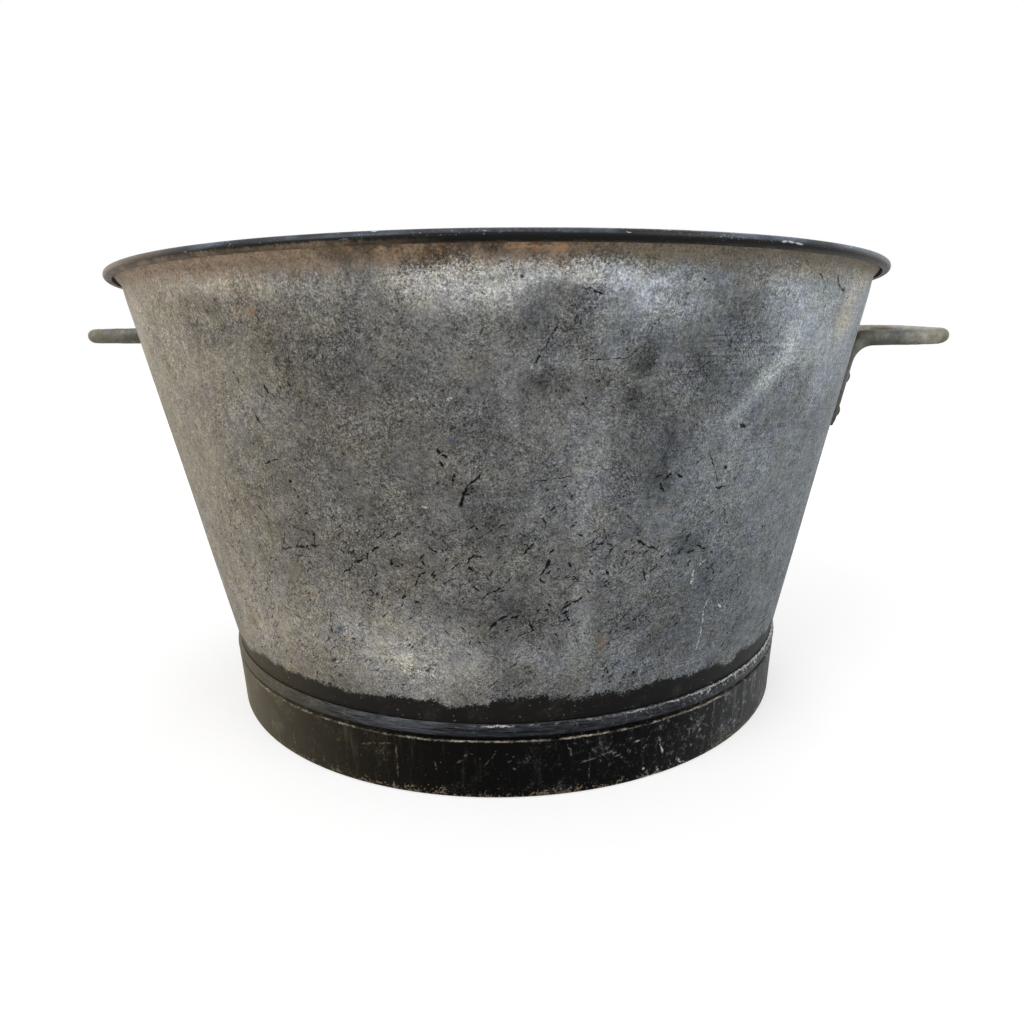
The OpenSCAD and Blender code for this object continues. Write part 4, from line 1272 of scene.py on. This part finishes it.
def foot_paint():
    """Worn black paint on the foot ring: chips at the ground, pale metal along the groove and bead, a painted
    highlight and bluish sheen on the bead, and partly painted warm light towards the left.
    """
    p = Paint("foot_paint", shine=0.1)
    pos = p.place()
    x, y, z = p.split(pos)
    u, radius = p.round_tub(x, y), p.radius(x, y)
    face = p.join(u, z)
    wobbly = p.wobbled(face, pos, 3.0, 3.0, 2.0, 0.6)
    cloud = p.noise(pos, 60.0, 3.0)
    grain = p.noise(pos, 1.8, 3.0, 0.65)
    lit = p.swing(grain, 0.10, 0.03)
    runs = p.noise(p.stretched(face, 1.0, 0.1), 6.0, 3.0, 0.65)
    lit = p.added(p.band(runs, 0.54, 0.72), 0.10, lit)
    dusty = p.times(p.spots(0.50, 0.70, pos, 24.0, 5.0, 0.7), p.band(grain, 0.35, 0.7))
    lit = p.added(dusty, p.added(p.band(x, -40.0, 60.0), 0.14, 0.18), lit)
    shown = p.band(y, *SEEN_Y)
    # the skirt lighter towards the left: partly dust, partly painted warm light from the left
    left = p.added(p.band(x, 20.0, -262.0), 0.33, p.times(p.band(x, -140.0, -258.0), 0.06))
    lit = p.added(left, shown, lit)
    dusts = p.times(p.spots(0.54, 0.70, pos, 5.0, 4.0, 0.75), p.band(p.swing(cloud, 260.0, x), 10.0, 110.0))
    lit = p.added(dusts, p.added(shown, 0.22, 0.16), lit)
    right = p.times(p.band(x, 150.0, 230.0), p.band(runs, 0.50, 0.66), 0.11)
    right = p.added(p.band(x, 100.0, 250.0), 0.23, right)
    lit = p.added(right, shown, lit)
    # the skirt browner towards the left: partly dust, partly painted warm light from the left
    dust_and_warm_light = p.times(p.band(x, 80.0, -60.0), p.added(shown, 0.6, 0.4))
    colour = p.tone(lit, p.mix(dust_and_warm_light, SKIRT_COOL, SKIRT_DUST_AND_WARM_LIGHT))
    # small chips all over, more of them at the ground
    speck = p.noise(pos, 2.0, 2.0, 0.6)
    many = p.times(p.band(p.swing(p.noise(pos, 16.0, 2.0), 18.0, z), 8.0, 0.0), 0.20)
    chips = p.band(p.math("ADD", speck, many), 0.70, 0.74)
    bare = p.mix(p.noise(pos, 6.0), BARE_PALE, BARE_RUSTY)
    colour = p.mix(p.times(chips, 0.8), colour, bare)
    scratches = seen_strokes(p, wobbly, SKIRT_SCRATCHES, 2.0, SKIRT_CONE)
    scratches = p.times(scratches, p.spots(0.4, 0.54, pos, 1.8, 1.0))
    scratch_tint = p.mix(p.band(x, -20.0, 90.0), SCRATCH_BROWN, SCRATCH_GREY)
    colour = p.mix(p.times(scratches, 0.45), colour, scratch_tint)
    knocked = seen_strokes(p, wobbly, SKIRT_CHIPS, 2.2, SKIRT_CONE)
    knocked = p.times(knocked, p.spots(0.42, 0.54, pos, 2.2, 2.0, 0.7))
    colour = p.mix(p.times(knocked, 0.85), colour, SKIRT_CHIP)
    # hair scratches and dust, more of them to the right
    for slant in (-0.9, 1.2):
        hairs = p.noise(p.stretched(p.slanted(wobbly, slant), 0.10), 1.5, 1.0, 0.5)
        hairs = p.times(p.band(hairs, 0.66, 0.74), p.band(p.swing(cloud, 260.0, x), 10.0, 120.0))
        colour = p.mix(p.times(hairs, 0.07), colour, SPECK_GREY)
    # metal bared along the fold under the bead
    wispy = p.swing(p.noise(pos, 4.0, 4.0, 0.75), 2.4, p.swing(p.noise(pos, 30.0, 1.0), 1.2, z))
    lip = p.swing(p.noise(pos, 7.0, 4.0, 0.7), 2.4, radius)
    fold = p.times(p.band(wispy, FOOT_TOP - 1.0, FOOT_TOP - 0.4),
                   p.band(wispy, FOOT_TOP + 0.5, FOOT_TOP - 0.1),
                   p.band(lip, FOOT_LOW_R + 0.3, FOOT_LOW_R + 1.1),
                   p.spots(0.40, 0.62, pos, 22.0, 5.0, 0.75),
                   p.band(p.swing(cloud, 90.0, x), -225.0, -150.0),
                   p.band(p.swing(p.noise(pos, 12.0, 4.0, 0.7), 160.0, x), 215.0, 150.0))
    colour = p.mix(fold, colour, p.mix(p.band(grain, 0.3, 0.7), FOLD_DARK, FOLD_PALE))
    # bead: bluish scuffs that run round it, partly a painted bluish sheen, and a pale upper edge, partly
    # chipped paint and partly a painted highlight, brightest to the right
    on_bead = p.band(z, BEAD_Z - 4.5, BEAD_Z - 3.0)
    round_it = p.join(u, p.times(z, 2.0), p.times(radius, 2.0))
    streaks = p.noise(p.stretched(round_it, 0.16), 2.4, 4.0, 0.7)
    scuffs_and_sheen = p.times(on_bead, p.band(p.swing(cloud, 0.25, streaks), 0.30, 0.78))
    scuffs_and_sheen = p.times(scuffs_and_sheen, p.added(p.band(x, 60.0, -60.0), 0.4, 0.4))
    colour = p.mix(scuffs_and_sheen, colour, p.mix(p.band(x, -40.0, -190.0), SCUFF_BLUE_AND_SHEEN, SCUFF_BROWN))
    crest = p.swing(streaks, 1.4, z)
    crest = p.swing(p.noise(pos, 3.0, 4.0, 0.8), 4.4, crest)
    ridge_chips_and_highlight = p.times(p.band(crest, BEAD_Z + 3.8, BEAD_Z + 4.2), p.band(crest, BEAD_Z + 4.9, BEAD_Z + 4.5))
    ridge_chips_and_highlight = p.times(ridge_chips_and_highlight, p.band(p.swing(p.noise(pos, 9.0, 5.0, 0.75), 620.0, x), 40.0, 240.0))
    # painted highlight: a short bright glint on the bead's upper edge, near the front
    beside = p.swing(p.noise(pos, 6.0, 4.0, 0.7), 20.0, p.math("SUBTRACT", x, PAINTED_GLINT_X))
    painted_glint = p.band(p.math("ABSOLUTE", beside), 13.0, 4.0)
    edge = p.times(p.band(crest, BEAD_Z + 3.6, BEAD_Z + 3.9), p.band(crest, BEAD_Z + 4.5, BEAD_Z + 4.2))
    ridge_chips_and_highlight = p.most(ridge_chips_and_highlight, p.times(edge, p.times(painted_glint, 0.85)))
    knocks = p.band(p.swing(p.noise(pos, 3.6, 3.0, 0.7), 900.0, x), 245.0, 300.0)
    knocks = p.times(knocks, p.band(z, BEAD_Z - 1.0, BEAD_Z + 3.0))
    ridge_chips_and_highlight = p.times(p.most(ridge_chips_and_highlight, p.times(knocks, 0.8)), p.added(shown, 0.5, 0.5))
    colour = p.mix(ridge_chips_and_highlight, colour, p.mix(p.noise(pos, 9.0, 2.0), RIDGE_CREAM, RIDGE_BLUE))
    # the bead's painted highlight counts here with the chips, scratches and bared fold
    worn = p.most(p.most(chips, scratches), p.most(fold, ridge_chips_and_highlight))
    rough = p.swing(grain, 0.25, p.blend(worn, 0.38, 0.6))
    height = p.added(worn, -0.8, p.swing(grain, 0.5))
    return p.finish(colour, rough, p.times(worn, 0.2), height, depth=0.0004, strength=0.5)


def iron(name, pale, dark, rust_gain, grain_mm):
    """Dull galvanised iron, greenish grey to beige, with brown rust spots, more brown on faces turned
    downwards, and painted shade near the wall.
    """
    p = Paint(name, shine=0.3)
    pos = p.place()
    x = p.split(pos)[0]
    cloud = p.noise(pos, 24.0, 3.0, 0.6)
    grain = p.noise(pos, grain_mm, 3.0, 0.7)
    colour = p.mix(p.band(cloud, 0.36, 0.64), dark, pale)
    blue = p.spots(0.48, 0.68, p.moved(pos, 3.0, 60.0, 21.0), 20.0, 3.0, 0.6)
    colour = p.mix(p.times(blue, 0.7), colour, IRON_BLUISH)
    speck = p.swing(grain, 1.1, 1.0)
    colour = p.shaded(colour, speck)
    shaded = p.band(p.swing(cloud, 24.0, p.math("ABSOLUTE", x)), 354.0, 330.0)
    colour = p.vec("MULTIPLY", colour, p.mix(shaded, PLAIN, SHADED))
    facing = p.split(p.add("ShaderNodeNewGeometry", {}).outputs["Normal"])[2]
    # more brown on faces turned downwards
    under = p.band(facing, 0.1, -0.75)
    rust = p.times(p.spots(0.48, 0.66, pos, 9.0, 5.0, 0.68), p.added(under, 0.6, rust_gain))
    colour = p.mix(rust, colour, p.mix(grain, IRON_RUST, RUST_BROWN))
    chips = p.spots(0.70, 0.76, p.moved(pos, 13.0, 2.0, 40.0), 3.0, 2.0)
    colour = p.mix(p.times(chips, 0.6), colour, IRON_CHIP)
    rough = p.swing(cloud, 0.3, 0.58)
    metal = p.times(p.without(rust), 0.3)
    height = p.math("ADD", p.swing(grain, 0.6), p.swing(cloud, 1.2))
    return p.finish(colour, rough, metal, height, depth=0.0005, strength=0.45)


outside, rim = zinc_outside(), rim_paint()
inside, bottom = zinc_inside("zinc_inside", False), zinc_inside("zinc_bottom", True)
black = foot_paint()
handle_iron = iron("handle_iron", HANDLE_PALE, HANDLE_DARK, rust_gain=0.22, grain_mm=2.0)
rivet_iron = iron("rivet_iron", RIVET_PALE, RIVET_DARK, rust_gain=0.3, grain_mm=1.4)
wire_steel = iron("wire_steel", WIRE_PALE, WIRE_DARK, rust_gain=0.6, grain_mm=1.2)

PIECES = [
    (make_wall("front_wall_sheet", 180.0, (outside, inside, rim)), "front_wall", "zinc_sheet"),
    (make_wall("rear_wall_sheet", 0.0, (outside, inside, rim)), "rear_wall", "zinc_sheet"),
    (make_bottom("bottom_disc", (bottom,)), "bottom_sheet", "zinc_sheet"),
    (make_foot_ring("foot_ring_skirt", (black,)), "foot_ring", "black_paint"),
    (make_handle("right_rod_handle", 0, (handle_iron,)), "right_handle", "handle_iron"),
    (make_handle("left_rod_handle", 1, (handle_iron,)), "left_handle", "handle_iron"),
]
for piece, node, slot in PIECES:
    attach(piece, "root")
    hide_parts(node)

KEPT = {"rim_wire": wire_steel, "foot_ring_rivets": black, "right_handle_rivets": rivet_iron,
        "left_handle_rivets": rivet_iron, "right_rivet_washers": inside, "left_rivet_washers": inside}
for node, material in KEPT.items():
    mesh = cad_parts[node].data
    mesh.materials.clear()
    mesh.materials.append(material)

# Floor, light and world, in metres and watts
FLOOR_SIZE, FLOOR_DROP, FLOOR_GREY = 6.0, 0.0004, (0.62, 0.62, 0.62)
# Glow of the floor for the camera: distances and strengths between which it grows
GLOW_NEAR, GLOW_FAR, GLOW_LOW, GLOW_HIGH = 0.5, 2.2, 0.53, 0.76
# Strength of the world as a light and as something seen
WORLD_LIGHT, WORLD_SEEN = 0.5, 1.0


def empty_nodes(owner):
    """The emptied node tree of a material or world."""
    owner.use_nodes = True
    owner.node_tree.nodes.clear()
    return Nodes(owner.node_tree)


floor_mesh = bpy.data.meshes.new("floor")
CORNERS = ((-1, -1), (1, -1), (1, 1), (-1, 1))
floor_mesh.from_pydata([(FLOOR_SIZE * x, FLOOR_SIZE * y, 0) for x, y in CORNERS], [], [(0, 1, 2, 3)])
floor = bpy.data.objects.new("floor", floor_mesh)
floor.location.z = -FLOOR_DROP
bpy.context.scene.collection.objects.link(floor)

floor_mat = bpy.data.materials.new("floor_white")
floor_mesh.materials.append(floor_mat)
nodes = empty_nodes(floor_mat)
place = nodes.add("ShaderNodeTexCoord", {}).outputs["Object"]
away = nodes.add("ShaderNodeVectorMath", {0: place}, operation="LENGTH").outputs["Value"]
grown = nodes.add("ShaderNodeMapRange", {"Value": away, "From Min": GLOW_NEAR, "From Max": GLOW_FAR,
                                         "To Min": GLOW_LOW, "To Max": GLOW_HIGH}).outputs[0]
by_camera = nodes.add("ShaderNodeLightPath", {}).outputs["Is Camera Ray"]
glow = nodes.add("ShaderNodeEmission", {"Strength": nodes.math("MULTIPLY", by_camera, grown)})
diffuse = nodes.add("ShaderNodeBsdfDiffuse", {"Color": FLOOR_GREY})
both = nodes.add("ShaderNodeAddShader", {0: diffuse.outputs[0], 1: glow.outputs[0]})
nodes.add("ShaderNodeOutputMaterial", {"Surface": both.outputs[0]})

world = bpy.data.worlds.new("studio")
bpy.context.scene.world = world
nodes = empty_nodes(world)
rays = nodes.add("ShaderNodeLightPath", {}).outputs
seen = nodes.math("MAXIMUM", rays["Is Camera Ray"], rays["Is Glossy Ray"])
seen = nodes.math("MAXIMUM", seen, rays["Is Transmission Ray"])
strength = nodes.add("ShaderNodeMapRange", {"Value": seen, "To Min": WORLD_LIGHT, "To Max": WORLD_SEEN})
shell = nodes.add("ShaderNodeBackground", {"Color": (1, 1, 1), "Strength": strength.outputs[0]})
nodes.add("ShaderNodeOutputWorld", {"Surface": shell.outputs[0]})


def softbox(name, at, aim, size, watts):
    light = bpy.data.objects.new(name, bpy.data.lights.new(name, "AREA"))
    light.data.shape = "DISK"
    light.data.size = size
    light.data.energy = watts
    light.location = at
    light.rotation_euler = (Vector(aim) - Vector(at)).to_track_quat("-Z", "Y").to_euler()
    bpy.context.scene.collection.objects.link(light)


softbox("key", (-1.1, -1.6, 1.9), (0, 0, 0.2), 1.6, 26)
softbox("fill", (1.7, -1.2, 1.3), (0, 0, 0.2), 1.4, 13)
softbox("back", (0.3, 1.8, 1.8), (0, 0, 0.3), 1.5, 14)

bpy.context.scene.view_settings.view_transform = "Standard"
